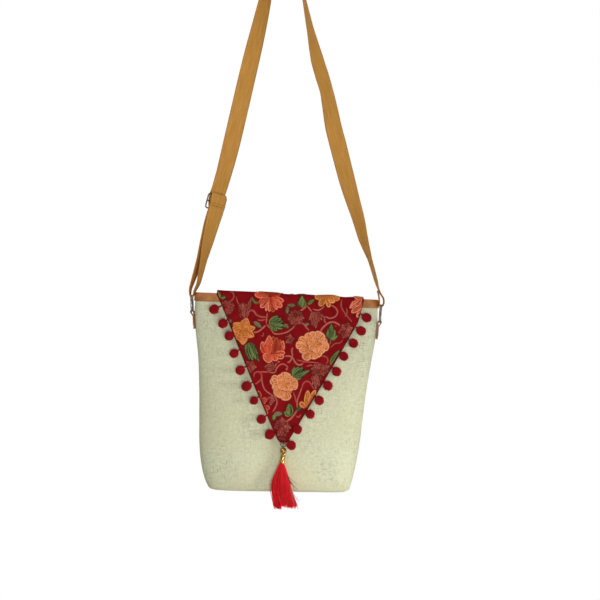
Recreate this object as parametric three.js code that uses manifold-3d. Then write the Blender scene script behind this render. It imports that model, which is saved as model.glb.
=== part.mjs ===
// A jute sling bag, hung by its strap: an open-topped jute body with a bound rim, a pointed
// embroidered flap edged with pompoms, a tassel at the flap's point, and a webbing strap with a
// slide adjuster that hangs on a metal ring at each side.
// Millimetres, +Z up, the bag's front faces -Y. The origin is under the strap's top bend, where it
// hangs on a hook or a shoulder.
import * as THREE from "three";
import { mergeVertices } from "three/addons/utils/BufferGeometryUtils.js";
import Module from "manifold-3d";

const wasm = await Module();
wasm.setup();

// Driving dimensions
const GAP = 0.35; // between pieces that touch
const BAG_LEAN = THREE.MathUtils.degToRad(2.4); // the bag hangs with its right end lower
const RIM = { side: 3, down: 480 }; // the middle of the rim, from the origin
const JUTE = 2; // the body's wall
const FLOOR = { across: 0.97, deep: 0.9 }; // the floor inside, as shares of the wall above it
const BODY_POINTS = 40; // round one section of the body
const FOOT = -279.5; // the base, from the rim
const SKEW = 0.0001; // the right side of the bag is this much shorter for each millimetre across
const LEATHER = 1.5;
const BINDING = { outside: 11, inside: 9, rise: 1.6, shoulder: 0.6, round: 1.1 };
const CLOTH = 1.4; // the flap, with its backing
const MOUTH = { off: 3, sag: 0.7 }; // the flap over the mouth, past the rim and down to it
const FLAP_COLUMNS = 18;
const FLAP_BACK = -40; // the sewn edge on the back of the bag, from the rim
const FLAP_TIP = -207; // the flap's point, from the rim
const POMPOM = { radius: 6.6, stretch: 1.08, lumps: 5, lump: 0.35, stem: 0.8, hang: 6 };
const LAST_STEM_UP = 4.5; // the lowest stem leaves the edge this far above the point
const EDGE_SLANT = 0.88; // how far off the flap's slanted edge a millimetre across takes you
const WEBBING = { width: 25, thick: 1.2 };
const STRAP_LIFT = WEBBING.thick / 2; // puts the webbing's underside at the origin
const RING = { wire: 1.3, inside: 26.8, corner: 2.4 };
const SLIDER = { down: 344, aside: -1.1, wire: 1.1, inside: 28, pitch: 10.5, corner: 3 };
const TAB = { width: 18, leather: 1.2, long: 25, wrap: -0.5, pinch: 2.4, clear: 0.45 };
const TAB_FOLD = { left: -26.5, right: -30.5 }; // where each tab folds, from the rim
const TIP_LOOP = { radius: 2.3, wire: 0.5, hole: 1 };
const TIP_RING = { wide: 4, high: 2.3, wire: 0.65 }; // an oval ring, half sizes
const BEAD = { radius: 4.7, eye: 1.5, eyeWire: 0.5 };
const CAP = { top: 3, foot: 4.1, high: 12, tilt: 9 };
const TIP_ACROSS = 4.5; // the middle of the flap's point
const TIP_HOLE_UP = 2 * TIP_LOOP.radius - 2 * TIP_RING.wire - 2 * GAP - TIP_LOOP.wire;
const SKIRT = { locks: 12, points: 36, ripple: 0.13, twist: 0.05, ragged: 1.8 };
const WIRE = { sides: 6, steps: 14 }; // facets of a small ring: round its wire and round the ring

// The body's sections: how far each side and the front stand from the middle, and how square it is
const BODY = [
  { z: 0, left: 131.2, right: 131.5, depth: 19, square: 2.5 },
  { z: -11, left: 132, right: 132.6, depth: 20.5, square: 2.5 },
  { z: -28, left: 132.4, right: 133.2, depth: 22.5, square: 2.6 },
  { z: -55, left: 129.3, right: 131.3, depth: 26, square: 2.7 },
  { z: -90, left: 124.3, right: 126.5, depth: 30, square: 2.8 },
  { z: -135, left: 120.8, right: 120.8, depth: 33, square: 2.9 },
  { z: -180, left: 118.8, right: 117, depth: 34.5, square: 3 },
  { z: -218, left: 116.8, right: 113.4, depth: 34, square: 3.1 },
  { z: -244, left: 113, right: 109.5, depth: 33, square: 3.2 },
  { z: -262, left: 108, right: 106.2, depth: 31, square: 3.2 },
  { z: -272, left: 103.5, right: 103.5, depth: 28.5, square: 3.2 },
  { z: -278, left: 98.5, right: 100.5, depth: 25, square: 3.2 },
  { z: FOOT, left: 93.5, right: 96, depth: 21, square: 3.2 },
];
// Soft hollows in the front of the body
const DENTS = [
  { across: -27, z: -236, deep: 2.4, wide: 15, tall: 38 },
  { across: 58, z: -150, deep: 1.2, wide: 22, tall: 60 },
];
// The flap's two edges below the rim, how far it stands off the body, and its waves along the top
const FLAP_EDGES = [
  { z: 1, left: -100, right: 111, off: 3.1 },
  { z: -11, left: -93.7, right: 108.5, off: 3.1 },
  { z: -32, left: -83.7, right: 103.4, off: 2.6 },
  { z: -118, left: -44.5, right: 58, off: 2.4 },
  { z: -180, left: -14.5, right: 24.5, off: 3.2 },
  { z: -203.5, left: -2.4, right: 11, off: 4.8 },
  { z: FLAP_TIP, left: 1, right: 8, off: 5 },
];
const FLAP_WAVES = [
  { across: -100, lift: 5.2 },
  { across: -20, lift: 4.8 },
  { across: 8, lift: 3.7 },
  { across: 27, lift: 4.4 },
  { across: 40, lift: 3.5 },
  { across: 66, lift: 4.4 },
  { across: 84, lift: 3 },
  { across: 97, lift: 3.9 },
  { across: 111, lift: 3.2 },
];
// Folds that run down the flap from its top: how far each puffs out and how soon it dies away
const FLAP_FOLDS = [
  { across: -64, puff: 1.2, wide: 20, reach: 70, lean: 0.2 },
  { across: 22, puff: 1.4, wide: 14, reach: 60, lean: -0.1 },
  { across: 66, puff: 3, wide: 9, reach: 50, lean: -0.25 },
  { across: 99, puff: 4, wide: 8, reach: 42, lean: -0.1 },
];
// Stations from the sewn back edge over the mouth and down the front to the point
const FLAP_BACK_ROWS = [
  { z: FLAP_BACK, off: 1.4 },
  { z: -26, off: 1.6 },
  { z: -11, off: 3.1 },
  { z: 1, off: 3.2 },
];
const FLAP_FRONT_ROWS = [
  1, -11, -20, -32, -47, -63, -79, -96, -114, -131, -148, -165, -181, -195, -203.5, FLAP_TIP,
];
const FLAP_MOUTH_ROWS = [0.95, 0.6, 0, -0.6, -0.95]; // shares of the mouth's half depth

// The middle of each pompom on the front of the bag, and its size beside the others
const POMPOMS = {
  left: [
    { across: -102.5, z: -22, size: 1.04 },
    { across: -89, z: -41.5, size: 1.02 },
    { across: -79, z: -59, size: 1 },
    { across: -71, z: -83.5, size: 0.96 },
    { across: -61, z: -107, size: 1.02 },
    { across: -51, z: -129, size: 1.08 },
    { across: -39.5, z: -149, size: 0.88 },
    { across: -28, z: -175, size: 0.98 },
    { across: -15, z: -196, size: 1.06 },
  ],
  right: [
    { across: 116.5, z: -25, size: 1 },
    { across: 109, z: -44, size: 1.02 },
    { across: 98.5, z: -62, size: 1 },
    { across: 85.5, z: -81, size: 0.97 },
    { across: 76, z: -103, size: 1 },
    { across: 64.5, z: -123.5, size: 1.03 },
    { across: 53, z: -145, size: 1 },
    { across: 41, z: -165, size: 0.97 },
    { across: 24, z: -187, size: 0.95 },
    { across: 16, z: -210, size: 1 },
  ],
};

// The strap's two legs from the top bend: how far down and to the side, and how far it has turned
// from edge-on (0) towards facing front (90)
const LEFT_LEG = [
  { down: 9, side: -14.5, turn: 6 },
  { down: 26, side: -23, turn: 22 },
  { down: 49, side: -27.8, turn: 42 },
  { down: 93, side: -37.8, turn: 58 },
  { down: 136, side: -48.2, turn: 73 },
  { down: 194, side: -61.8, turn: 85 },
  { down: 252, side: -75.3, turn: 80 },
  { down: 296, side: -86.3, turn: 63 },
  { down: 340, side: -97.4, turn: 59 },
  { down: 370, side: -105, turn: 51 },
  { down: 397, side: -111.8, turn: 39 },
  { down: 425, side: -119.4, turn: 21 },
  { down: 455, side: -127.5, turn: 11 },
  { down: 469, side: -131.8, turn: 5 },
  { down: 478, side: -134.4, turn: 0 },
];
const RIGHT_LEG = [
  { down: 9, side: 15, turn: -2 },
  { down: 26, side: 24, turn: -5 },
  { down: 49, side: 28.5, turn: -9 },
  { down: 93, side: 37.4, turn: -22 },
  { down: 136, side: 47.3, turn: -46 },
  { down: 160, side: 54.5, turn: -50 },
  { down: 182, side: 60.9, turn: -47 },
  { down: 206, side: 65.7, turn: -57 },
  { down: 235, side: 71.2, turn: -71 },
  { down: 260, side: 77.6, turn: -75 },
  { down: 310, side: 90.4, turn: -67 },
  { down: 339, side: 98.6, turn: -54 },
  { down: 368, side: 107.3, turn: -43 },
  { down: 397, side: 114.5, turn: -31 },
  { down: 426, side: 123.8, turn: -12 },
  { down: 445, side: 129.4, turn: -10 },
  { down: 457, side: 132.7, turn: -8 },
  { down: 467, side: 135.5, turn: -2 },
];
// The doubled left end. Its sewn tail folds over the slider's top bar; the front layer runs down
// to the ring and round it; the back layer runs up and behind the middle bar. Stations by the
// slider are measured up from its middle, the others down the leg; front is towards the viewer.
const OVER = SLIDER.wire + GAP + WEBBING.thick / 2 + 0.4; // middle of webbing that lies on a bar
const NEXT = WEBBING.thick + 0.55; // middle to middle of two layers that cross a bar together
const ROUND = RING.wire + GAP + WEBBING.thick / 2; // middle of webbing that lies round a ring
const LEFT_BAR = { down: 478, side: -134.4 };
const LEFT_END = [
  { up: -5, front: OVER + NEXT + 1.5 },
  { up: 0, front: OVER + NEXT },
  { up: 6, front: OVER + 0.8 },
  { up: SLIDER.pitch, front: OVER },
  { up: SLIDER.pitch + OVER * 0.75, front: OVER * 0.66 },
  { up: SLIDER.pitch + OVER, front: 0 },
  { up: SLIDER.pitch + OVER * 0.75, front: -OVER * 0.66 },
  { up: SLIDER.pitch, front: -OVER },
  { up: 0, front: OVER },
  { up: -SLIDER.pitch, front: OVER + NEXT },
  { up: -17, front: OVER + 1.2 },
  { down: 376, front: 2.4 },
  { down: 397, front: 2 },
  { down: 425, front: 2.8 },
  { down: 445, front: 3.8 },
  { down: 460, front: 4.4 },
  { down: 471, front: 2.6 },
  { down: LEFT_BAR.down, front: ROUND },
  { down: LEFT_BAR.down + ROUND * 0.75, front: ROUND * 0.66 },
  { down: LEFT_BAR.down + ROUND, front: 0 },
  { down: LEFT_BAR.down + ROUND * 0.75, front: -ROUND * 0.66 },
  { down: LEFT_BAR.down, front: -ROUND },
  { down: 471, front: -4.3 },
  { down: 460, front: -4.4 },
  { down: 445, front: -3.8 },
  { down: 425, front: -2.8 },
  { down: 397, front: -2 },
  { down: 376, front: -1.3 },
  { up: -17, front: OVER - 1 },
  { up: -SLIDER.pitch, front: OVER },
  { up: 0, front: -OVER },
  { up: SLIDER.pitch, front: -OVER - NEXT },
  { up: 20, front: -2.4 },
];
// The right end, down past its ring, round it and back up to the sewn tail
const RIGHT_BAR = { down: 492.5, side: 139.9 };
const RIGHT_END = [
  { down: -18, side: -1.3 },
  { down: -10, side: 3.4 },
  { down: -4, side: 4.2 },
  { down: 0, side: ROUND + 0.6 },
  { down: ROUND * 0.75, side: ROUND * 0.66 },
  { down: ROUND, side: 0 },
  { down: ROUND * 0.75, side: -ROUND * 0.66 },
  { down: 0, side: -ROUND },
  { down: -8, side: -2.6 },
  { down: -16, side: -3.6 },
  { down: -21, side: -5.2 },
];
const STRAP_STEPS = 2; // lengths of solid between two stations

// The tassel's skirt below its cap: half its width, half its depth and how far it drifts sideways
const SKIRT_ROWS = [
  { down: 0, wide: 2.8, deep: 2.6, drift: -2.2 },
  { down: 3, wide: 4.2, deep: 3.6, drift: -2.4 },
  { down: 11, wide: 7.4, deep: 5.2, drift: -2.7 },
  { down: 20, wide: 11, deep: 6.4, drift: -2.8 },
  { down: 30, wide: 13.8, deep: 7, drift: -2.4 },
  { down: 41, wide: 14.8, deep: 7.2, drift: -1.6 },
  { down: 53, wide: 15, deep: 7.2, drift: 1 },
  { down: 64, wide: 13.6, deep: 6.8, drift: 2.6 },
];

const COLOURS = {
  jute: [0xcfcba6, 0.9, 0],
  tan: [0xa8682f, 0.55, 0],
  cloth: [0x7d1018, 0.85, 0],
  yarn: [0x8e1224, 0.95, 0],
  silk: [0xc01320, 0.45, 0],
  webbing: [0xb5823f, 0.85, 0],
  steel: [0xc8c8c4, 0.25, 1],
  gold: [0xc79a3c, 0.25, 1],
};

// Tables and curves

// The value of a named column at a place between a table's rows, smooth or straight
function column(rows, at, place, name, smooth = true) {
  const sorted = [...rows].sort((a, b) => a[at] - b[at]);
  const last = sorted.length - 1;
  if (place <= sorted[0][at]) return sorted[0][name];
  if (place >= sorted[last][at]) return sorted[last][name];
  const i = sorted.findIndex((row) => row[at] > place) - 1;
  const [a, b] = [sorted[i], sorted[i + 1]];
  const span = b[at] - a[at];
  const t = (place - a[at]) / span;
  if (!smooth) return a[name] + (b[name] - a[name]) * t;
  const slope = (low, high) => (high[name] - low[name]) / (high[at] - low[at]);
  const mid = slope(a, b);
  const before = i > 0 ? (slope(sorted[i - 1], a) + mid) / 2 : mid;
  const after = i + 2 <= last ? (slope(b, sorted[i + 2]) + mid) / 2 : mid;
  const [t2, t3] = [t * t, t * t * t];
  return (
    (2 * t3 - 3 * t2 + 1) * a[name] +
    (t3 - 2 * t2 + t) * span * before +
    (3 * t2 - 2 * t3) * b[name] +
    (t3 - t2) * span * after
  );
}

const bell = (x) => Math.exp(-x * x);

// Solids

// A closed geometry from points and faces, turned to face out
function geometryOf(points, faces) {
  let volume = 0;
  for (const [a, b, c] of faces) {
    volume += points[a].dot(points[b].clone().cross(points[c]));
  }
  const index = faces.flatMap(([a, b, c]) => (volume > 0 ? [a, b, c] : [a, c, b]));
  const geometry = new THREE.BufferGeometry().setFromPoints(points);
  geometry.setIndex(index);
  geometry.computeVertexNormals();
  return geometry;
}

const quad = (a, b, c, d) => [[a, b, c], [a, c, d]];

// Closed sections stacked along a line, with both ends capped from their middles
function stack(rings) {
  const n = rings[0].length;
  const points = rings.flat();
  const faces = [];
  for (let r = 0; r + 1 < rings.length; r++) {
    for (let i = 0; i < n; i++) {
      const j = (i + 1) % n;
      faces.push(...quad(r * n + i, r * n + j, (r + 1) * n + j, (r + 1) * n + i));
    }
  }
  const cap = (ring, start, turned) => {
    const middle = ring.reduce((sum, p) => sum.add(p), new THREE.Vector3()).divideScalar(n);
    points.push(middle);
    for (let i = 0; i < n; i++) {
      const [a, b] = [start + i, start + ((i + 1) % n)];
      faces.push(turned ? [points.length - 1, b, a] : [points.length - 1, a, b]);
    }
  };
  cap(rings[0], 0, true);
  cap(rings.at(-1), (rings.length - 1) * n, false);
  return geometryOf(points, faces);
}

// Closed sections round a closed line
function loop(sections) {
  const n = sections[0].length;
  const faces = [];
  sections.forEach((_, s) => {
    const next = (s + 1) % sections.length;
    for (let i = 0; i < n; i++) {
      const j = (i + 1) % n;
      faces.push(...quad(s * n + i, s * n + j, next * n + j, next * n + i));
    }
  });
  return geometryOf(sections.flat(), faces);
}

// A sheet with a thickness, from the two grids of points on its faces
function sheet(front, back) {
  const [rows, columns] = [front.length, front[0].length];
  const points = [...front.flat(), ...back.flat()];
  const far = rows * columns;
  const at = (r, c) => r * columns + c;
  const faces = [];
  for (let r = 0; r + 1 < rows; r++) {
    for (let c = 0; c + 1 < columns; c++) {
      const pair = quad(at(r, c), at(r, c + 1), at(r + 1, c + 1), at(r + 1, c));
      faces.push(...pair);
      faces.push(...pair.map((face) => face.map((k) => k + far).reverse()));
    }
    for (const [c, turned] of [[0, true], [columns - 1, false]]) {
      const side = [at(r, c), at(r + 1, c), at(r + 1, c) + far, at(r, c) + far];
      faces.push(...quad(...(turned ? side : side.reverse())));
    }
  }
  for (let c = 0; c + 1 < columns; c++) {
    for (const [r, turned] of [[0, false], [rows - 1, true]]) {
      const end = [at(r, c), at(r, c + 1), at(r, c + 1) + far, at(r, c) + far];
      faces.push(...quad(...(turned ? end : end.reverse())));
    }
  }
  return geometryOf(points, faces);
}

function solidOf(geometry) {
  const bare = geometry.clone();
  bare.deleteAttribute("normal");
  bare.deleteAttribute("uv");
  const merged = mergeVertices(bare, 1e-3);
  const mesh = new wasm.Mesh({
    numProp: 3,
    vertProperties: new Float32Array(merged.attributes.position.array),
    triVerts: new Uint32Array(merged.index.array),
  });
  return new wasm.Manifold(mesh);
}

const fused = (...all) => geometryFrom(all.map(solidOf).reduce((sum, solid) => sum.add(solid)));

const cut = (whole, tool) => geometryFrom(solidOf(whole).subtract(solidOf(tool)));

function geometryFrom(solid) {
  const made = solid.getMesh();
  const geometry = new THREE.BufferGeometry();
  geometry.setAttribute("position", new THREE.BufferAttribute(made.vertProperties, 3));
  geometry.setIndex(new THREE.BufferAttribute(made.triVerts, 1));
  geometry.computeVertexNormals();
  return geometry;
}

// The outline of a rounded rectangle of wire, as sections round its line, in the XY plane
function wireFrame(width, height, corner, wire, sides = 8, perCorner = 3) {
  const sections = [];
  for (let k = 0; k < 4; k++) {
    const middle = new THREE.Vector3(
      (width / 2 - corner) * (k === 0 || k === 3 ? 1 : -1),
      (height / 2 - corner) * (k < 2 ? 1 : -1),
      0,
    );
    for (let i = 0; i <= perCorner; i++) {
      const turn = (k + i / perCorner) * (Math.PI / 2);
      const out = new THREE.Vector3(Math.cos(turn), Math.sin(turn), 0);
      const centre = middle.clone().addScaledVector(out, corner);
      sections.push(circle(centre, out, new THREE.Vector3(0, 0, 1), wire, sides));
    }
  }
  return loop(sections);
}

function circle(centre, across, up, radius, sides) {
  return Array.from({ length: sides }, (_, i) => {
    const turn = (2 * Math.PI * i) / sides;
    return centre
      .clone()
      .addScaledVector(across, radius * Math.cos(turn))
      .addScaledVector(up, radius * Math.sin(turn));
  });
}

function piece(name, geometry, look) {
  const [color, roughness, metalness] = COLOURS[look];
  const material = new THREE.MeshStandardMaterial({ color, roughness, metalness });
  const mesh = new THREE.Mesh(geometry, material);
  mesh.name = name;
  return mesh;
}

// The jute body and its leather rim, in the bag's own frame with the rim at z = 0

function dent(x, z) {
  return DENTS.reduce(
    (sum, d) => sum + d.deep * bell((x - d.across) / d.wide) * bell((z - d.z) / d.tall),
    0,
  );
}

// A point of the body's surface, grown outwards by an offset; turn 0 is the right side
function bodyPoint(turn, z, grow = 0) {
  const [cos, sin] = [Math.cos(turn), Math.sin(turn)];
  const power = 2 / column(BODY, "z", z, "square");
  const half = column(BODY, "z", z, cos > 0 ? "right" : "left") + grow;
  const depth = column(BODY, "z", z, "depth") + grow;
  const x = half * Math.sign(cos) * Math.abs(cos) ** power;
  const y = depth * Math.sign(sin) * Math.abs(sin) ** power;
  return new THREE.Vector3(x, sin < 0 ? y + dent(x, z) : y, z * (1 - SKEW * x));
}

// How far the front of the body, grown by an offset, stands from the middle at a place on it
function frontDepth(x, z, grow = 0) {
  const half = column(BODY, "z", z, x > 0 ? "right" : "left") + grow;
  const power = column(BODY, "z", z, "square");
  const share = Math.min(1, Math.abs(x) / half);
  return (column(BODY, "z", z, "depth") + grow) * (1 - share ** power) ** (1 / power);
}

function bodyRing(z, grow) {
  return Array.from({ length: BODY_POINTS }, (_, i) =>
    bodyPoint((2 * Math.PI * i) / BODY_POINTS, z, grow),
  );
}

function juteBody() {
  const outside = BODY.map((row) => bodyRing(row.z, 0)).reverse();
  const inside = BODY.slice(0, -1).map((row) => bodyRing(row.z, -JUTE));
  const floor = inside.pop().map((p) => {
    const x = p.x * FLOOR.across;
    return new THREE.Vector3(x, p.y * FLOOR.deep, FOOT * (1 - SKEW * x) + JUTE);
  });
  return stack([...outside, ...inside, floor]);
}

function rimBinding() {
  const [outer, inner] = [GAP + LEATHER, -JUTE - GAP - LEATHER];
  const section = [
    { grow: GAP, z: -BINDING.outside },
    { grow: outer, z: -BINDING.outside },
    { grow: outer, z: BINDING.shoulder },
    { grow: outer - BINDING.round, z: BINDING.rise },
    { grow: inner + BINDING.round, z: BINDING.rise },
    { grow: inner, z: BINDING.shoulder },
    { grow: inner, z: -BINDING.inside },
    { grow: -JUTE - GAP, z: -BINDING.inside },
    { grow: -JUTE - GAP, z: GAP },
    { grow: GAP, z: GAP },
  ];
  const place = (turn, { grow, z }) => bodyPoint(turn, Math.min(z, 0), grow).setZ(z);
  return loop(
    Array.from({ length: BODY_POINTS }, (_, i) =>
      section.map((corner) => place((2 * Math.PI * i) / BODY_POINTS, corner)),
    ),
  );
}

// The flap, from its sewn edge on the back over the mouth and down the front

function flapFold(x, z) {
  return FLAP_FOLDS.reduce((sum, f) => {
    const middle = f.across + f.lean * z;
    return sum + f.puff * bell((x - middle) / f.wide) * Math.exp(z / f.reach);
  }, 0);
}

// How far in front of the bag's middle plane the flap's own middle hangs
function flapDepth(x, z) {
  const off = column(FLAP_EDGES, "z", z, "off", false);
  return frontDepth(x, z, off) - dent(x, z) + flapFold(x, z);
}

function flapMiddle() {
  const across = (z, c) => {
    const left = column(FLAP_EDGES, "z", z, "left", false);
    const right = column(FLAP_EDGES, "z", z, "right", false);
    return left + ((right - left) * c) / FLAP_COLUMNS;
  };
  const row = (place) => Array.from({ length: FLAP_COLUMNS + 1 }, (_, c) => place(c));
  const lift = (x) => column(FLAP_WAVES, "across", x, "lift");
  const back = FLAP_BACK_ROWS.map(({ z, off }) =>
    row((c) => {
      const x = across(1, c);
      return new THREE.Vector3(x, frontDepth(x, z, off), z);
    }),
  );
  const mouth = FLAP_MOUTH_ROWS.map((share) =>
    row((c) => {
      const x = across(1, c);
      const sag = MOUTH.sag * share * share;
      return new THREE.Vector3(x, share * frontDepth(x, 0, MOUTH.off), lift(x) - sag);
    }),
  );
  const front = FLAP_FRONT_ROWS.map((z) =>
    row((c) => {
      const x = across(z, c);
      return new THREE.Vector3(x, -flapDepth(x, z), z);
    }),
  );
  return [...back, ...mouth, ...front];
}

function flap() {
  const grid = flapMiddle();
  const clamp = (k, most) => Math.min(Math.max(k, 0), most);
  const at = (r, c) => grid[clamp(r, grid.length - 1)][clamp(c, FLAP_COLUMNS)];
  const face = (side) =>
    grid.map((line, r) =>
      line.map((p, c) => {
        const along = at(r + 1, c).clone().sub(at(r - 1, c));
        const across = at(r, c + 1).clone().sub(at(r, c - 1));
        const normal = along.cross(across).normalize();
        return p.clone().addScaledVector(normal, (side * CLOTH) / 2);
      }),
    );
  return cut(sheet(face(1), face(-1)), tipHole());
}

// Where the tassel's thread loop goes through the flap
function tipHole() {
  const depth = flapDepth(TIP_ACROSS, FLAP_TIP);
  const hole = new THREE.CylinderGeometry(TIP_LOOP.hole, TIP_LOOP.hole, 12, 8);
  return hole.translate(TIP_ACROSS, -depth, FLAP_TIP + TIP_HOLE_UP);
}

// A ball of felted yarn in soft lumps, longer along Z
function yarnBall(radius, seed) {
  const ball = new THREE.SphereGeometry(radius, 11, 7);
  const spot = ball.attributes.position;
  const p = new THREE.Vector3();
  for (let i = 0; i < spot.count; i++) {
    p.fromBufferAttribute(spot, i);
    const turn = Math.atan2(p.z, p.x);
    const level = p.y / radius;
    const lump = Math.sin(POMPOM.lumps * turn + seed) * Math.cos(4 * level + 2 * seed);
    p.multiplyScalar(1 + (POMPOM.lump * lump * (1 - level * level)) / radius);
    spot.setXYZ(i, p.x, -p.z, p.y * POMPOM.stretch);
  }
  return ball;
}

// Where a pompom's middle hangs: just off the body, and in front of the flap where they overlap
function pompomCentre({ across, z }, edge, room) {
  const apart = EDGE_SLANT * (across - edge);
  const onBody = frontDepth(across, z) - dent(across, z) + room;
  const beside = room ** 2 - apart ** 2;
  const onFlap = beside > 0 ? flapDepth(edge, z) + CLOTH / 2 + Math.sqrt(beside) : 0;
  return new THREE.Vector3(across, -Math.max(onBody, onFlap), z);
}

// A pompom on a short stem from the flap's edge
function pompom(place, side, seed) {
  const edgeAt = (z) => column(FLAP_EDGES, "z", z, side, false);
  const radius = POMPOM.radius * place.size;
  const long = radius * POMPOM.stretch;
  const centre = pompomCentre(place, edgeAt(place.z), long + POMPOM.lump + GAP);
  const rootZ = Math.max(place.z + POMPOM.hang, FLAP_TIP + LAST_STEM_UP);
  const root = new THREE.Vector3(edgeAt(rootZ), -flapDepth(edgeAt(rootZ), rootZ), rootZ);
  const aim = root.clone().sub(centre).normalize();
  const turned = (from) => new THREE.Quaternion().setFromUnitVectors(from, aim);
  const ball = yarnBall(radius, seed).applyQuaternion(turned(new THREE.Vector3(0, 0, 1)));
  ball.translate(centre.x, centre.y, centre.z);
  const reach = root.distanceTo(centre) - CLOTH / 2 - POMPOM.stem - 2 * GAP;
  if (reach < long) return ball;
  const stem = new THREE.CylinderGeometry(POMPOM.stem, POMPOM.stem, reach - long / 2, 6);
  stem.translate(0, (reach + long / 2) / 2, 0);
  stem.applyQuaternion(turned(new THREE.Vector3(0, 1, 0)));
  stem.translate(centre.x, centre.y, centre.z);
  return fused(ball, stem);
}

function pompoms() {
  return Object.entries(POMPOMS).flatMap(([side, places]) =>
    places.map((place, i) => piece(`pompom_${side}_${i + 1}`, pompom(place, side, i * 1.7), "yarn")),
  );
}

// A leather tab folded round a ring's lower bar and sewn down the bag's side
function tab() {
  const radius = RING.wire + GAP + TAB.leather;
  const thick = 2 * TAB.leather;
  const outline = new THREE.Shape();
  outline.moveTo(0, -TAB.long);
  outline.lineTo(0, 0);
  outline.absarc(radius, 0, radius, Math.PI, TAB.wrap, true);
  outline.lineTo(thick, -TAB.pinch * radius);
  outline.lineTo(thick, -TAB.long);
  outline.closePath();
  const hole = new THREE.Path();
  hole.absarc(radius, 0, RING.wire + GAP, 0, 2 * Math.PI, false);
  outline.holes.push(hole);
  const strip = new THREE.ExtrudeGeometry(outline, {
    depth: TAB.width,
    bevelEnabled: false,
    curveSegments: 6,
  });
  strip.translate(0, 0, -TAB.width / 2);
  strip.rotateX(Math.PI / 2); // the outline's height becomes Z and its depth Y
  return strip;
}

// Tabs lie along the slope of the bag's sides; side is -1 on the left and 1 on the right
function placedTab(side) {
  const name = side < 0 ? "left" : "right";
  const edge = (z) => column(BODY, "z", z, name);
  const fold = TAB_FOLD[name];
  const slope = Math.atan2(edge(fold) - edge(fold - TAB.long), TAB.long);
  const mesh = piece(`tab_${name}`, tab(), "tan");
  const holder = new THREE.Group();
  holder.position.set(side * (edge(fold) + TAB.clear), 0, fold);
  holder.rotation.set(0, slope, side < 0 ? Math.PI : 0, "ZYX");
  holder.add(mesh);
  return holder;
}

// Where a ring's lower bar runs through its tab, in the bag's own frame
function tabEye(side) {
  const name = side < 0 ? "left" : "right";
  const radius = RING.wire + GAP + TAB.leather;
  const edge = column(BODY, "z", TAB_FOLD[name], name);
  return new THREE.Vector3(side * (edge + TAB.clear + radius), 0, TAB_FOLD[name]);
}

// The strap, in the hanging frame

const strapPoint = (side, down) => new THREE.Vector3(side, 0, -down);

// The way the webbing's width lies when it has turned by some degrees from edge-on
function widthAt(degrees) {
  const turn = THREE.MathUtils.degToRad(degrees);
  return new THREE.Vector3(Math.sin(turn), Math.cos(turn), 0);
}

const squareTo = (vector, to) => vector.addScaledVector(to, -vector.dot(to)).normalize();

function legFrame(rows, down) {
  const centre = strapPoint(column(rows, "down", down, "side"), down);
  const above = strapPoint(column(rows, "down", down - 1, "side"), down - 1);
  const up = above.sub(centre).normalize();
  const across = squareTo(widthAt(column(rows, "down", down, "turn")), up);
  return { centre, up, across, front: across.clone().cross(up) };
}

// Every station of the one length of webbing: its middle and the way its width lies
function strapStations() {
  const doubled = LEFT_END.map(({ down, up, front }) => {
    const leg = legFrame(LEFT_LEG, down ?? SLIDER.down);
    const at = leg.centre.addScaledVector(leg.front, front).addScaledVector(leg.up, up ?? 0);
    return { at, across: leg.across };
  });
  const single = ({ side, down, turn }) => ({ at: strapPoint(side, down), across: widthAt(turn) });
  const rising = LEFT_LEG.filter((row) => row.down < 310).reverse();
  const falling = RIGHT_LEG.filter((row) => row.down < 470);
  const looped = RIGHT_END.map(({ down, side }) => ({
    side: RIGHT_BAR.side + side,
    down: RIGHT_BAR.down + down,
    turn: 0,
  }));
  const bend = { side: 0, down: 0, turn: 0 };
  return [...doubled, ...[...rising, bend, ...falling, ...looped].map(single)];
}

function strap() {
  const stations = strapStations();
  const line = new THREE.CatmullRomCurve3(stations.map((s) => s.at), false, "centripetal");
  const steps = (stations.length - 1) * STRAP_STEPS;
  const [front, back] = [[], []];
  for (let i = 0; i <= steps; i++) {
    const place = i / STRAP_STEPS;
    const low = Math.min(Math.floor(place), stations.length - 2);
    const centre = line.getPoint(i / steps);
    const along = line.getTangent(i / steps);
    const width = stations[low].across.clone().lerp(stations[low + 1].across, place - low);
    const across = squareTo(width, along);
    const normal = along.clone().cross(across).multiplyScalar(WEBBING.thick / 2);
    const edges = [-0.5, 0.5].map((k) => centre.clone().addScaledVector(across, k * WEBBING.width));
    front.push(edges.map((p) => p.clone().add(normal)));
    back.push(edges.map((p) => p.clone().sub(normal)));
  }
  return sheet(front, back).translate(0, 0, STRAP_LIFT);
}

// A wire ring from the strap's loop down to its tab
function sideRing(name, upper, lower) {
  const up = upper.clone().sub(lower);
  const width = RING.inside + 2 * RING.wire;
  const frame = wireFrame(width, up.length(), RING.corner, RING.wire);
  const mesh = piece(name, frame, "steel");
  const across = new THREE.Vector3(0, 1, 0);
  const front = across.clone().cross(up).normalize();
  const basis = new THREE.Matrix4().makeBasis(across, up.clone().normalize(), front);
  mesh.quaternion.setFromRotationMatrix(basis);
  mesh.position.copy(upper).add(lower).multiplyScalar(0.5);
  return mesh;
}

// The slide adjuster: a wire frame with a bar across its middle
function slider() {
  const width = SLIDER.inside + 2 * SLIDER.wire;
  const frame = wireFrame(width, 2 * SLIDER.pitch, SLIDER.corner, SLIDER.wire);
  const bar = new THREE.CylinderGeometry(SLIDER.wire, SLIDER.wire, width, 8).rotateZ(Math.PI / 2);
  const mesh = piece("slider", fused(frame, bar), "steel");
  const { centre, up, across, front } = legFrame(LEFT_LEG, SLIDER.down);
  mesh.quaternion.setFromRotationMatrix(new THREE.Matrix4().makeBasis(across, up, front));
  mesh.position.copy(centre).addScaledVector(across, SLIDER.aside);
  mesh.position.z += STRAP_LIFT;
  return mesh;
}

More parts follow.
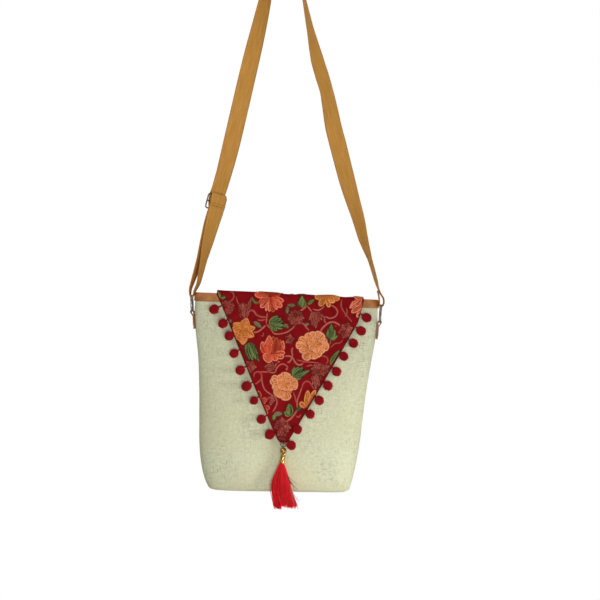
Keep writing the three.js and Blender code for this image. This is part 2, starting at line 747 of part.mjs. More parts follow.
// The tassel, hung by an eye, an oval ring and a thread loop from the flap's point

function threadLoop() {
  const { radius, wire } = TIP_LOOP;
  return new THREE.TorusGeometry(radius, wire, WIRE.sides, WIRE.steps).rotateY(Math.PI / 2);
}

function ovalRing() {
  const { wide, high, wire } = TIP_RING;
  const sections = Array.from({ length: WIRE.steps }, (_, i) => {
    const turn = (2 * Math.PI * i) / WIRE.steps;
    const centre = new THREE.Vector3(wide * Math.cos(turn), 0, high * Math.sin(turn));
    const out = new THREE.Vector3(high * Math.cos(turn), 0, wide * Math.sin(turn));
    return circle(centre, out.normalize(), new THREE.Vector3(0, 1, 0), wire, WIRE.sides);
  });
  return loop(sections);
}

// A bead with its wire eye on top; the origin is the middle of the eye
function tasselBead() {
  const ball = new THREE.SphereGeometry(BEAD.radius, 14, 10).rotateX(Math.PI / 2);
  ball.translate(0, 0, -beadDrop());
  const eye = new THREE.TorusGeometry(BEAD.eye, BEAD.eyeWire, WIRE.sides, WIRE.steps);
  return fused(ball, eye.rotateY(Math.PI / 2));
}

const beadDrop = () => BEAD.eye + BEAD.radius;

// A bell cap under the bead
function tasselCap() {
  const top = -beadDrop() - BEAD.radius - GAP;
  const profile = [
    { out: 0, drop: 0 },
    { out: CAP.top, drop: 0 },
    { out: CAP.top + 0.3, drop: 1.4 },
    { out: CAP.top, drop: 2.6 },
    { out: CAP.foot - 0.5, drop: CAP.high - 3 },
    { out: CAP.foot, drop: CAP.high },
    { out: 0, drop: CAP.high },
  ];
  const points = profile.map(({ out, drop }) => new THREE.Vector2(out, top - drop)).reverse();
  const cap = new THREE.LatheGeometry(points, 14).rotateX(Math.PI / 2).translate(0, 0, -top);
  return cap.rotateY(THREE.MathUtils.degToRad(CAP.tilt)).translate(0, 0, top);
}

// A skirt of silk in soft locks, each ending at its own height
function tasselSkirt() {
  const top = -beadDrop() - BEAD.radius - CAP.high - 2 * GAP;
  const rings = SKIRT_ROWS.map((row, r) => {
    const end = r === SKIRT_ROWS.length - 1;
    return Array.from({ length: SKIRT.points }, (_, i) => {
      const turn = (2 * Math.PI * i) / SKIRT.points;
      const lock = Math.cos(SKIRT.locks * turn + SKIRT.twist * row.down);
      const swell = r > 1 ? 1 + SKIRT.ripple * lock : 1;
      const ragged = end ? SKIRT.ragged * Math.sin(5 * turn + 1) * Math.cos(3 * turn) : 0;
      return new THREE.Vector3(
        row.drift + row.wide * swell * Math.cos(turn),
        row.deep * swell * Math.sin(turn),
        top - row.down + ragged,
      );
    });
  });
  return stack(rings);
}

// The whole bag

const bag = new THREE.Group();
bag.position.set(RIM.side, 0, -RIM.down);
bag.rotation.y = BAG_LEAN;
bag.add(piece("body", juteBody(), "jute"));
bag.add(piece("rim_binding", rimBinding(), "tan"));
bag.add(piece("flap", flap(), "cloth"));
bag.add(...pompoms());
bag.add(placedTab(-1), placedTab(1));
bag.updateMatrixWorld(true);

const slung = new THREE.Group();
slung.add(piece("strap", strap(), "webbing"), slider());
const barPoint = ({ side, down }) => strapPoint(side, down - STRAP_LIFT);
slung.add(
  sideRing("ring_left", barPoint(LEFT_BAR), bag.localToWorld(tabEye(-1))),
  sideRing("ring_right", barPoint(RIGHT_BAR), bag.localToWorld(tabEye(1))),
);

const tipDepth = flapDepth(TIP_ACROSS, FLAP_TIP);
const tipPoint = bag.localToWorld(new THREE.Vector3(TIP_ACROSS, -tipDepth, FLAP_TIP));
const below = (place, drop) => place.clone().add(new THREE.Vector3(0, 0, -drop));
const placed = (mesh, at) => {
  mesh.position.copy(at);
  return mesh;
};
const ringTop = TIP_RING.wire + GAP; // the oval ring's top wire just clears the flap's point
const loopFoot = ringTop + TIP_RING.wire + GAP + TIP_LOOP.wire;
const pivot = below(tipPoint, ringTop + 2 * TIP_RING.high);
const loopMiddle = below(tipPoint, loopFoot - TIP_LOOP.radius);
const ringMiddle = below(tipPoint, ringTop + TIP_RING.high);
slung.add(placed(piece("tip_loop", threadLoop(), "yarn"), loopMiddle));
slung.add(placed(piece("tip_ring", ovalRing(), "steel"), ringMiddle));

const tassel = new THREE.Group();
tassel.position.copy(pivot);
tassel.add(piece("tassel_bead", tasselBead(), "gold"));
tassel.add(piece("tassel_cap", tasselCap(), "gold"));
tassel.add(piece("tassel_skirt", tasselSkirt(), "silk"));

const slingBag = new THREE.Group();
slingBag.add(bag, slung, tassel);
export default slingBag;
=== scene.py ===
import math

import bmesh
import bpy
import numpy as np
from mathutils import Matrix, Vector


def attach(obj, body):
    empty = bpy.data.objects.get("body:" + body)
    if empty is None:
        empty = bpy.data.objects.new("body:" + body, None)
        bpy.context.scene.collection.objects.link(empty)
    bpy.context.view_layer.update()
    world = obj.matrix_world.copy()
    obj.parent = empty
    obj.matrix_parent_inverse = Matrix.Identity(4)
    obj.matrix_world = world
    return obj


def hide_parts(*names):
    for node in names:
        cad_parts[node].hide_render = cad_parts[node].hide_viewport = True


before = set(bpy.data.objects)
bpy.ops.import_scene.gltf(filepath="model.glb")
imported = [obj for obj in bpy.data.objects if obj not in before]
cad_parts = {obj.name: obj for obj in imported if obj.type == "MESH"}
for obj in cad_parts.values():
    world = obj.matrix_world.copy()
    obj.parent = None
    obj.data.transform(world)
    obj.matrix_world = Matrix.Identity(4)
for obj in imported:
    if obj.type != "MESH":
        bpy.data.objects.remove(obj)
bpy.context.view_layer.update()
ALONG_X, ALONG_Y, ALONG_Z = np.eye(3)

# The camera, at the photograph's viewing angle
CAMERA = {"side": 22.5, "away": 2000, "down": 484.3, "view": 870}

# The bag's own frame in the row frame
LEAN = math.radians(2.4)
RIM = {"side": 3, "down": 480}

# Driving dimensions, as in the solids
GAP = 0.35
JUTE = 2
FOOT = -279.5
SKEW = 0.0001
LEATHER = 1.5
CLOTH = 1.4
WEBBING = {"width": 25, "thick": 1.2}
RING = {"wire": 1.3, "inside": 26.8, "corner": 2.4}
SLIDER = {"down": 344, "aside": -1.1, "wire": 1.1, "inside": 28, "pitch": 10.5, "corner": 3}
TAB = {"width": 18, "leather": 1.2, "long": 25, "wrap": -0.5, "pinch": 2.4, "clear": 0.45}
TAB_FOLD = {"left": -26.5, "right": -30.5}
POMPOM = {"radius": 6.6, "stretch": 1.08, "lump": 0.35, "stem": 0.8, "hang": 6}
LAST_STEM_UP = 4.5
EDGE_SLANT = 0.88
FLAP_TOP = 1  # where the front ends and the cloth turns over the mouth
FLAP_TIP = -207
FLAP_BACK = -40
TIP_ACROSS = 4.5
TIP_LOOP = {"radius": 2.3, "wire": 0.5}
TIP_RING = {"wide": 4, "high": 2.3, "wire": 0.65}
BEAD = {"radius": 4.7, "eye": 1.5, "eye_wire": 0.5}
CAP = {"top": 3, "foot": 4.1, "high": 12, "tilt": 9}


class Table:
    """Rows of numbers with named columns, read at places between the rows of the first column."""

    def __init__(self, names, *rows):
        self.rows = np.array(sorted(rows), float)
        self.at = self.rows[:, 0]
        self.columns = dict(zip(names.split(), self.rows.T))

    def straight(self, name, place):
        return np.interp(place, self.at, self.columns[name])

    def smooth(self, name, place):
        at, values = self.at, self.columns[name]
        slope = np.diff(values) / np.diff(at)
        slopes = np.concatenate([slope[:1], (slope[:-1] + slope[1:]) / 2, slope[-1:]])
        place = np.clip(place, at[0], at[-1])
        i = np.clip(np.searchsorted(at, place, side="right") - 1, 0, len(at) - 2)
        span = at[i + 1] - at[i]
        t = (place - at[i]) / span
        start = (2 * t**3 - 3 * t**2 + 1) * values[i] + (t**3 - 2 * t**2 + t) * span * slopes[i]
        end = (3 * t**2 - 2 * t**3) * values[i + 1] + (t**3 - t**2) * span * slopes[i + 1]
        return start + end


# The body's sections: how far each side and the front stand from the middle, and how square it is
BODY = Table(
    "z left right depth square",
    (0, 131.2, 131.5, 19, 2.5),
    (-11, 132, 132.6, 20.5, 2.5),
    (-28, 132.4, 133.2, 22.5, 2.6),
    (-55, 129.3, 131.3, 26, 2.7),
    (-90, 124.3, 126.5, 30, 2.8),
    (-135, 120.8, 120.8, 33, 2.9),
    (-180, 118.8, 117, 34.5, 3),
    (-218, 116.8, 113.4, 34, 3.1),
    (-244, 113, 109.5, 33, 3.2),
    (-262, 108, 106.2, 31, 3.2),
    (-272, 103.5, 103.5, 28.5, 3.2),
    (-278, 98.5, 100.5, 25, 3.2),
    (FOOT, 93.5, 96, 21, 3.2),
)
# Soft hollows in the front: across, z, deep, wide, tall
DENTS = [(-27, -236, 2.4, 15, 38), (58, -150, 1.2, 22, 60)]
# The flap's two edges below the rim and how far it stands off the body
FLAP_EDGES = Table(
    "z left right off",
    (FLAP_TOP, -100, 111, 3.1),
    (-11, -93.7, 108.5, 3.1),
    (-32, -83.7, 103.4, 2.6),
    (-118, -44.5, 58, 2.4),
    (-180, -14.5, 24.5, 3.2),
    (-203.5, -2.4, 11, 4.8),
    (FLAP_TIP, 1, 8, 5),
)
# The flap's waves along the top, and how far it stands off the back
FLAP_WAVES = Table(
    "across lift",
    (-100, 5.2), (-20, 4.8), (8, 3.7), (27, 4.4), (40, 3.5), (66, 4.4), (84, 3), (97, 3.9), (111, 3.2),
)
FLAP_BEHIND = Table("z off", (FLAP_BACK, 1.4), (-26, 1.6), (-11, 3.1), (1, 3.2))
# Folds that run down the flap from its top: across, puff, wide, reach, lean
FLAP_FOLDS = [
    (-64, 1.2, 20, 70, 0.2),
    (22, 1.4, 14, 60, -0.1),
    (66, 3, 9, 50, -0.25),
    (99, 4, 8, 42, -0.1),
]
# The middle of each pompom, and how big it is: across, z, size
POMPOMS = {
    "left": [
        (-102.5, -22, 1.04), (-89, -41.5, 1.02), (-79, -59, 1), (-71, -83.5, 0.96), (-61, -107, 1.02),
        (-51, -129, 1.08), (-39.5, -149, 0.88), (-28, -175, 0.98), (-15, -196, 1.06),
    ],
    "right": [
        (116.5, -25, 1), (109, -44, 1.02), (98.5, -62, 1), (85.5, -81, 0.97), (76, -103, 1),
        (64.5, -123.5, 1.03), (53, -145, 1), (41, -165, 0.97), (24, -187, 0.95), (16, -210, 1),
    ],
}
# The strap's two legs from the top bend: down, side, and the turn from edge-on to facing front
LEFT_LEG = Table(
    "down side turn",
    (9, -14.5, 6), (26, -23, 22), (49, -27.8, 42), (93, -37.8, 58), (136, -48.2, 73),
    (194, -61.8, 85), (252, -75.3, 80), (296, -86.3, 63), (340, -97.4, 59), (370, -105, 51),
    (397, -111.8, 39), (425, -119.4, 21), (455, -127.5, 11), (469, -131.8, 5), (478, -134.4, 0),
)
RIGHT_LEG = Table(
    "down side turn",
    (9, 15, -2), (26, 24, -5), (49, 28.5, -9), (93, 37.4, -22), (136, 47.3, -46), (160, 54.5, -50),
    (182, 60.9, -47), (206, 65.7, -57), (235, 71.2, -71), (260, 77.6, -75), (310, 90.4, -67),
    (339, 98.6, -54), (368, 107.3, -43), (397, 114.5, -31), (426, 123.8, -12), (445, 129.4, -10),
    (457, 132.7, -8), (467, 135.5, -2),
)
OVER = SLIDER["wire"] + GAP + WEBBING["thick"] / 2 + 0.4
NEXT = WEBBING["thick"] + 0.55
ROUND = RING["wire"] + GAP + WEBBING["thick"] / 2
PITCH = SLIDER["pitch"]
LEFT_BAR = {"down": 478, "side": -134.4}
RIGHT_BAR = {"down": 492.5, "side": 139.9}
# The doubled left end, from its sewn tail: down the leg, up from the slider's middle, to the front
AT, BAR = SLIDER["down"], LEFT_BAR["down"]
LEFT_END = [
    (AT, -5, OVER + NEXT + 1.5),
    (AT, 0, OVER + NEXT),
    (AT, 6, OVER + 0.8),
    (AT, PITCH, OVER),
    (AT, PITCH + OVER * 0.75, OVER * 0.66),
    (AT, PITCH + OVER, 0),
    (AT, PITCH + OVER * 0.75, -OVER * 0.66),
    (AT, PITCH, -OVER),
    (AT, 0, OVER),
    (AT, -PITCH, OVER + NEXT),
    (AT, -17, OVER + 1.2),
    (376, 0, 2.4),
    (397, 0, 2),
    (425, 0, 2.8),
    (445, 0, 3.8),
    (460, 0, 4.4),
    (471, 0, 2.6),
    (BAR, 0, ROUND),
    (BAR + ROUND * 0.75, 0, ROUND * 0.66),
    (BAR + ROUND, 0, 0),
    (BAR + ROUND * 0.75, 0, -ROUND * 0.66),
    (BAR, 0, -ROUND),
    (471, 0, -4.3),
    (460, 0, -4.4),
    (445, 0, -3.8),
    (425, 0, -2.8),
    (397, 0, -2),
    (376, 0, -1.3),
    (AT, -17, OVER - 1),
    (AT, -PITCH, OVER),
    (AT, 0, -OVER),
    (AT, PITCH, -OVER - NEXT),
    (AT, 20, -2.4),
]
# The right end round its ring to the sewn tail: down and to the side of the ring's bar
RIGHT_END = [
    (-18, -1.3),
    (-10, 3.4),
    (-4, 4.2),
    (0, ROUND + 0.6),
    (ROUND * 0.75, ROUND * 0.66),
    (ROUND, 0),
    (ROUND * 0.75, -ROUND * 0.66),
    (0, -ROUND),
    (-8, -2.6),
    (-16, -3.6),
    (-21, -5.2),
]
# The tassel's skirt below its cap: half its width, half its depth and its drift to the side
SKIRT = Table(
    "down wide deep drift",
    (0, 2.8, 2.6, -2.2),
    (3, 4.2, 3.6, -2.4),
    (11, 7.4, 5.2, -2.7),
    (20, 10.6, 6.4, -3.2),
    (30, 12.9, 7, -3.2),
    (41, 13.5, 7.2, -2.8),
    (53, 14, 7.2, 0.2),
    (64, 13.2, 6.8, 2),
)

# The embroidery, charted on the flap: across and up from the rim, beyond 0 over the mouth

# Silks as sRGB: the darkest, which also paints the shade between petals, then over most of a petal, and on
# its rim
SILKS = {
    "peach": [(142, 62, 28), (234, 145, 80), (252, 180, 138)],
    "orange": [(136, 26, 12), (222, 88, 50), (250, 146, 110)],
    "rust": [(112, 20, 8), (172, 48, 18), (212, 88, 48)],
    "ochre": [(138, 60, 14), (218, 126, 46), (244, 166, 100)],
    "salmon": [(150, 42, 22), (220, 108, 70), (246, 156, 122)],
    "scarlet": [(124, 16, 12), (192, 54, 40), (226, 102, 78)],
    "green": [(26, 40, 16), (68, 90, 36), (136, 152, 82)],
    "sage": [(58, 64, 38), (100, 100, 66), (140, 132, 100)],
    "rose": [(104, 20, 16), (164, 66, 52), (198, 104, 86)],
    "pink": [(120, 36, 30), (172, 82, 68), (212, 128, 104)],
}
# Each motif: silk, kind, middle, how far out its petals start, and their tips and widths, hindmost first
MOTIFS = [
    ("rose", "faint", (-85, -18), 0.1, [
        (-95, -12, 7), (-87, -8.5, 7), (-79, -9.5, 7), (-73.5, -15, 6.5), (-75, -23, 6.5),
        (-79, -28, 6.5), (-87, -29, 7), (-92, -21, 6.5),
    ]),
    ("rose", "faint", (-58, -34), 0.05, [
        (-66, -27, 6.5), (-53, -22, 6), (-67.5, -14, 7.5), (-62, -11, 7), (-57, -12, 6.5),
        (-50, -3, 6),
    ]),
    ("rose", "faint", (15, -29), 0.1, [
        (4, -25, 7), (3, -32, 6.5), (8, -39, 6), (15, -40, 6.5), (22, -38, 6), (27, -29, 6.5),
        (23, -21, 6.5), (14, -18, 6.5), (7, -20, 5),
    ]),
    ("rose", "faint", (42, -19), 0.1, [
        (35, -25, 6), (34, -32, 6.5), (50, -24, 6.5), (57, -28, 5), (48, -34, 7), (38, -39, 6.5),
        (44, -44, 7),
    ]),
    ("rose", "faint", (87, -44), 0.1, [
        (76, -48, 7.5), (81, -36, 7.5), (90, -33, 7.5), (97, -40, 7), (93, -53, 7.5), (83, -56, 7.5),
    ]),
    ("rose", "faint", (47, -106), 0.1, [
        (40, -117, 5), (55, -116, 5), (42, -124, 5), (52, -125, 5), (47, -130, 6.5),
    ]),
    ("rose", "faint", (53, -101), 0.1, [
        (39, -101, 6.5), (43, -95, 6.5), (50, -93, 6.5), (58, -94, 6.5), (66, -96, 6), (65, -104, 6.5),
        (58, -110, 6.5), (45, -110, 6.5), (40, -107, 6),
    ]),
    ("rose", "faint", (-46, -101), 0.1, [
        (-53, -94, 6), (-44, -94, 7), (-38, -102, 6), (-46, -110, 6.5), (-51, -104, 6),
    ]),
    ("rose", "faint", (3, -184), 0.1, [
        (-10, -186, 6.5), (-7, -176, 7), (1, -171, 7), (10, -176, 7), (15, -186, 7), (7, -198, 7),
        (-4, -198, 6.5),
    ]),
    ("rose", "faint", (3, -198), 0, [(-2, -202, 4), (7, -204, 4)]),
    ("rose", "faint", (-20, -102), 0.1, [
        (-27, -100, 6), (-21, -94, 6), (-13, -97, 6), (-13, -104, 6), (-21, -108, 6),
    ]),
    ("rose", "faint", (-15, -147), 0.1, [
        (-21, -144, 5), (-14, -140, 5), (-10, -148, 5), (-16, -155, 5),
    ]),
    ("rose", "faint", (7, -60), 0.1, [
        (1, -56, 5), (8, -53, 5), (14, -59, 5), (10, -67, 5), (2, -66, 5),
    ]),
    ("green", "leaf", (-23, -39.5), 0.05, [
        (-16, -31, 6), (4, -42, 5), (-3, -46, 7), (-17, -47, 6), (-11, -49, 8), (-1, -41, 7),
        (-3, -35, 8), (-6, -31, 7), (-11, -27.5, 8),
    ]),
    ("green", "leaf", (-51, -68), 0.05, [
        (-41, -76, 7), (-55, -80, 7), (-37, -83, 7), (-53, -86, 7), (-34.5, -93.5, 6), (-49, -92, 7),
        (-39, -91, 7), (-44, -93, 7),
    ]),
    ("green", "leaf", (66, -58), 0.05, [
        (59, -48.5, 7), (75.5, -52.5, 7), (61.5, -43, 7), (71.5, -44, 7), (66, -36, 8),
    ]),
    ("green", "leaf", (13.5, -113.5), 0.05, [
        (16, -99, 7), (26, -115, 7), (22, -99, 8), (31, -110.5, 7), (28, -99.5, 7), (33, -107, 7),
        (38, -103, 6),
    ]),
    ("green", "leaf", (23, -14), 0.05, [(17, -6, 7), (28, -5, 7), (22.5, 2, 9)]),
    ("green", "leaf", (31, -9), 0, [(40, -2, 5)]),
    ("sage", "leaf", (-45, -37.5), 0, [(-34, -45, 6)]),
    ("sage", "leaf", (-82, -40), 0, [(-77, -36, 5)]),
    ("green", "leaf", (-98, 2), 0, [(-95, -6, 6)]),
    ("green", "leaf", (-94, -5), 0, [(-87, -3.5, 5)]),
    ("green", "leaf", (67, -94), 0, [(79, -73, 9)]),
    ("green", "leaf", (12, -169), 0.05, [(4, -163, 7), (15, -164, 6), (10.5, -151.5, 10)]),
    ("green", "leaf", (21, -162), 0, [(29, -154, 6)]),
    ("sage", "leaf", (-10, -167), 0, [(1, -166, 6)]),
    ("green", "leaf", (-9, -167), 0, [(-11, -176, 6)]),
    ("sage", "leaf", (2, -12), 0, [(13, -11.5, 5)]),
    ("sage", "leaf", (2, -14), 0, [(2, -24, 5)]),
    ("sage", "leaf", (27, -38.5), 0, [(34, -37.5, 4)]),
    ("sage", "leaf", (-1, -39), 0, [(5, -44, 5)]),
    ("rust", "bloom", (-23, 0), 0.1, [
        (-40, 13, 8), (-27, 20, 9), (-13, 18, 9), (-9, 4, 7), (-38, 7, 8), (-22, 9, 10),
        (-17.5, -22.5, 8),
    ]),
    ("orange", "bloom", (-23, 0), 0.12, [
        (-45.5, 1.5, 9), (-3.5, -6.5, 7), (-36, -17, 8.5), (-6, -15, 9.5), (-12.5, -19, 5),
    ]),
    ("orange", "bloom", (-23, 0), 0.12, [(-28.5, -21.5, 5), (-23.5, -22, 5)]),
    ("ochre", "bloom", (57, 5), 0.1, [
        (41, 1, 9), (44, 13, 8), (53, 18, 8), (62, 18, 8), (70, 13, 8), (76, 0, 9), (69, -5, 8),
        (48, -11, 9), (62, -12, 7),
    ]),
    ("salmon", "bloom", (110, 2), 0.05, [(112, -14, 14), (110, 8, 10), (103, 9, 10), (97, 6, 9)]),
    ("salmon", "spike", (108, 3), 0, [(91, -12.5, 10)]),
    ("salmon", "bloom", (112, -4), 0.05, [(108, -22, 5.5), (102, -25, 6.5), (94.5, -18.5, 7.5)]),
    ("ochre", "spike", (-60, -51), 0.05, [
        (-74, -40.5, 15), (-77, -49, 13), (-71, -64, 14), (-59, -71, 15), (-43.5, -58.5, 13),
        (-42.5, -45.5, 11), (-55, -32.5, 15), (-66, -56, 10), (-52, -60, 10), (-51, -45, 10),
    ]),
    ("rust", "spike", (-14, -84), 0.05, [(-16.5, -56.5, 15), (-5.5, -61, 15), (-11, -58, 13)]),
    ("orange", "spike", (-9, -84), 0.05, [(-1.5, -62.5, 13)]),
    ("orange", "spike", (-22, -84), 0.05, [(-32.5, -65, 15), (-22, -55.5, 14)]),
    ("orange", "bloom", (-17, -82), 0.05, [
        (-9, -90.5, 10), (0, -86, 9), (1.5, -79.5, 7), (-27, -92, 16),
    ]),
    ("peach", "bloom", (41, -68), 0.5, [
        (20.5, -58.5, 11), (16.5, -68, 12), (22, -76.5, 10), (31.5, -50.5, 11), (39, -48, 10),
        (60.5, -59, 10), (53, -49, 17), (58, -75.5, 10), (63.8, -68.5, 13), (29.5, -88.5, 13),
        (43, -87, 13), (51, -83.5, 12),
    ]),
    ("peach", "bloom", (44, -66), 0.2, [
        (33, -62, 10), (45, -55, 11), (55, -65, 10), (36, -74, 10), (47, -77.5, 11),
    ]),
    ("peach", "bloom", (2, -125), 0.45, [
        (-18, -120, 10), (-15.5, -114.5, 10), (-6, -111.5, 11), (13, -113, 11), (4.5, -107.5, 15),
        (15, -131, 10), (21.5, -122.5, 17), (-14.5, -130, 11), (6.5, -147, 15), (-7, -142.5, 17),
    ]),
    ("peach", "bloom", (2, -124), 0.2, [
        (-8, -121, 9), (3, -114, 10), (12, -122, 10), (7, -133, 9), (-5, -131, 9),
    ]),
    ("ochre", "bloom", (33.5, -157), 0.05, [(26, -149, 7), (47, -131, 7), (36.5, -132, 7)]),
    ("scarlet", "bloom", (-29, -150), 0.1, [(-35, -135, 6), (-24, -153, 6), (-22, -146, 7)]),
    ("scarlet", "bloom", (-26, -155), 0.1, [(-17, -160, 6), (-20, -168, 5)]),
]
# How each kind is sewn: its threads' pitch, thickness and unevenness, its padding and its rim
KINDS = {
    "bloom": {"pitch": 0.5, "thread": 0.31, "uneven": 0.13, "pad": 1.1, "rim": 0.65},
    "spike": {"pitch": 0.5, "thread": 0.31, "uneven": 0.16, "pad": 1.0, "rim": 0.6},
    "leaf": {"pitch": 0.6, "thread": 0.37, "uneven": 0.4, "pad": 0.6, "rim": 0.4},
    "faint": {"pitch": 2, "thread": 0.4, "uneven": 0.35, "pad": 0.2, "rim": 0.36},
}

# The kinds that are flowers, and those whose petals are pointed
FLOWERS = ("bloom", "spike")
POINTED = ("spike", "leaf", "faint")
# Scrolling stems: silk, width and the points they run through
STEMS = [
    ("pink", 2.4, [(-46, -53), (-38, -51), (-31, -45), (-27, -40)]),
    ("pink", 1.9, [(-27, -40), (-20, -47), (-15, -53), (-6, -53), (3, -50), (10, -45), (15, -39)]),
    ("pink", 1.9, [(-27, -40), (-27, -32), (-26, -22)]),
    ("rose", 2.8, [(-27, -30), (-35, -30), (-42, -27), (-45, -23), (-49, -21), (-53, -24), (-56, -29)]),
    ("rose", 1.9, [(-28, -33), (-35, -35), (-42, -34)]),
    ("green", 3.4, [(-50, -2), (-47, -7), (-44, -10), (-38, -10)]),
    ("pink", 2.4, [(30, -11), (25, -16), (19, -20)]),
    ("pink", 2.0, [(30, -11), (35, -17), (39, -21)]),
    ("pink", 1.9, [(38, -16), (46, -17), (52, -14), (56, -9)]),
    ("pink", 2.0, [
        (62, -9), (69, -11), (74, -18), (71, -25), (63, -28), (57, -26), (56, -32), (60, -36),
    ]),
    ("pink", 2.6, [(50, -50), (53, -43), (60, -36), (68, -33), (76, -36), (80, -40)]),
    ("pink", 2.0, [(35, -47), (30, -42), (25, -37), (16, -36)]),
    ("pink", 1.9, [
        (-33, -108), (-22, -108), (-12, -108), (-9, -101), (-3, -96), (3, -97), (6, -101), (3, -105),
    ]),
    ("pink", 1.8, [(-13, -103), (-11, -97), (-8, -93.5)]),
    ("pink", 4.5, [(-9, -94), (-5.5, -92)]),
    ("pink", 5, [(3, -102), (5.5, -104)]),
    ("pink", 5, [(5.5, -93.5), (9, -92.5)]),
    ("rose", 1.9, [(-17, -91), (-15, -96), (-12, -103)]),
    ("pink", 2.4, [(5, -94), (10, -90), (12, -83), (11, -76), (13, -70)]),
    ("pink", 2.4, [(0, -85), (7, -84), (13, -87), (16, -92), (21, -96), (26, -95), (28, -91)]),
    ("pink", 1.9, [
        (-31, -110), (-29, -124), (-25, -133), (-17, -139), (-10, -143), (-7, -152), (-13, -166),
    ]),
    ("rose", 2.0, [
        (-41, -117), (-41, -111), (-36, -108), (-31, -111), (-31, -118), (-35, -123), (-41, -127),
    ]),
    ("rose", 1.9, [(52, -82), (60, -83), (63, -88), (60, -95)]),
    ("sage", 1.6, [(66, -57), (65.5, -62), (64, -68)]),
    ("rose", 1.9, [(18, -89), (30, -91), (46, -92), (58, -95)]),
    ("rose", 2.0, [(32, -98), (38, -96), (44, -96)]),
    ("rose", 1.9, [(27, -131), (29, -123), (33, -119), (38, -120), (43, -127), (46, -132)]),
    ("pink", 2.0, [(22, -158), (22, -146), (25, -136), (28, -126)]),
    ("rose", 2.0, [(15, -134), (18, -141), (21, -151)]),
    ("pink", 2.4, [(4, -178), (12, -174), (18, -167), (23, -159)]),
    ("rose", 2.0, [(20, -168), (25, -170), (28, -164)]),
    ("rose", 1.8, [(-82, 2), (-78, 3), (-75, -2), (-78, -8), (-84, -10)]),
    ("rose", 1.8, [(-72, -2), (-70, -9), (-65, -16), (-62, -13)]),
    ("rose", 2.0, [(79, 0), (79, -10), (84, -19), (91, -27), (97, -33)]),
    ("rose", 1.8, [(86, -12), (88, -18), (84, -27)]),
    ("rose", 1.6, [(-35, -57), (-31, -57), (-31, -53), (-34, -52)]),
    ("rose", 1.6, [(66, -70), (72, -64), (80, -62), (84, -56)]),
]
# The cloth's pattern comes round again this far up, for motifs between these places
REPEAT = {"up": 132, "low": -100, "high": -44}

# How many points a stitch has, and the bare cloth between the stitching and the edge
STITCH_POINTS = 6
STITCH_INSET = 1.2

# Plain threads and yarns as sRGB
DYES = {
    "binding seam": (176, 122, 70),
    "strap seam": (150, 96, 44),
    "tab seam": (120, 74, 38),
    "braid": (82, 20, 20),
    "pompom": (164, 27, 36),
    "loop": (120, 18, 26),
    "tassel": (215, 18, 31),
    "dark stray": (112, 52, 40),
    "pale stray": (206, 96, 96),
}

# The lamps in metres: power, size, place, aim and the angle of the beam
LAMPS = {
    "key": (9, 1.2, (1.9, -0.5, -0.5), (0, 0, -0.6), 180),
    "fill": (6.5, 0.9, (-0.7, -0.7, 0.4), (0.1, 0, -0.1), 180),
    "front": (22, 0.8, (0.4, -2.2, -0.8), (0, 0, -0.6), 180),
    "bounce": (0.5, 0.8, (0.1, -0.6, -1.2), (0, 0, -0.72), 180),
    "back": (20, 1.2, (-0.6, 1.6, -0.2), (0, 0, -0.5), 180),
    "low": (0.12, 0.12, (1.6, -0.95, -0.75), (-0.02, 0, -0.72), 18),
}

# The strength of the even light, and the floor in metres
EVEN_LIGHT = 0.12
FLOOR = {"down": 1.25, "wide": 3, "deep": 2.8}


def srgb(*levels):
    """A colour from sRGB levels of 0 to 255, in linear light."""
    share = np.array(levels, float) / 255
    return np.where(share <= 0.04045, share / 12.92, ((share + 0.055) / 1.055) ** 2.4)


def dyed(name):
    return srgb(*DYES[name])


# Points and meshes


def unit(vectors):
    return vectors / np.maximum(np.linalg.norm(vectors, axis=-1, keepdims=True), 1e-9)


def joined(*parts):
    """Points from their coordinates."""
    return np.stack(np.broadcast_arrays(*parts), -1)


def bell(x):
    return np.exp(-x * x)


def in_row(points):
    """Points of the bag's own frame in the row frame."""
    x, y, z = np.moveaxis(np.asarray(points, float), -1, 0)
    side = RIM["side"] + x * math.cos(LEAN) + z * math.sin(LEAN)
    up = -RIM["down"] - x * math.sin(LEAN) + z * math.cos(LEAN)
    return joined(side, y, up)


def circle(steps):
    """Cosines and sines at even turns round a circle."""
    turn = 2 * math.pi * np.arange(steps) / steps
    return np.cos(turn), np.sin(turn)


def hoops(out, aside, sides):
    """Circles of radius 1, each in the plane of a way out and a way aside."""
    cos, sin = circle(sides)
    return out[..., None, :] * cos[:, None] + aside[..., None, :] * sin[:, None]


def run(line):
    """How far along a line each of its points is."""
    return np.concatenate([[0], np.cumsum(np.linalg.norm(np.diff(line, axis=0), axis=1))])


def spline(points, steps, evenness):
    """A Catmull-Rom line through some points: uniform for evenness 0 and centripetal for 0.5."""
    points = np.array(points, float)
    ends = np.concatenate([2 * points[:1] - points[1:2], points, 2 * points[-1:] - points[-2:-1]])
    t = np.arange(steps)[:, None] / steps
    line = []
    for a, b, c, d in zip(ends, ends[1:], ends[2:], ends[3:]):
        before, here, after = (np.linalg.norm(q - p) ** evenness for p, q in ((a, b), (b, c), (c, d)))
        start = here * ((b - a) / before - (c - a) / (before + here) + (c - b) / here)
        end = here * ((c - b) / here - (d - b) / (here + after) + (d - c) / after)
        square, cube = 3 * (c - b) - 2 * start - end, 2 * (b - c) + start + end
        line.append(b + start * t + square * t**2 + cube * t**3)
    return np.concatenate([*line, points[-1:]])


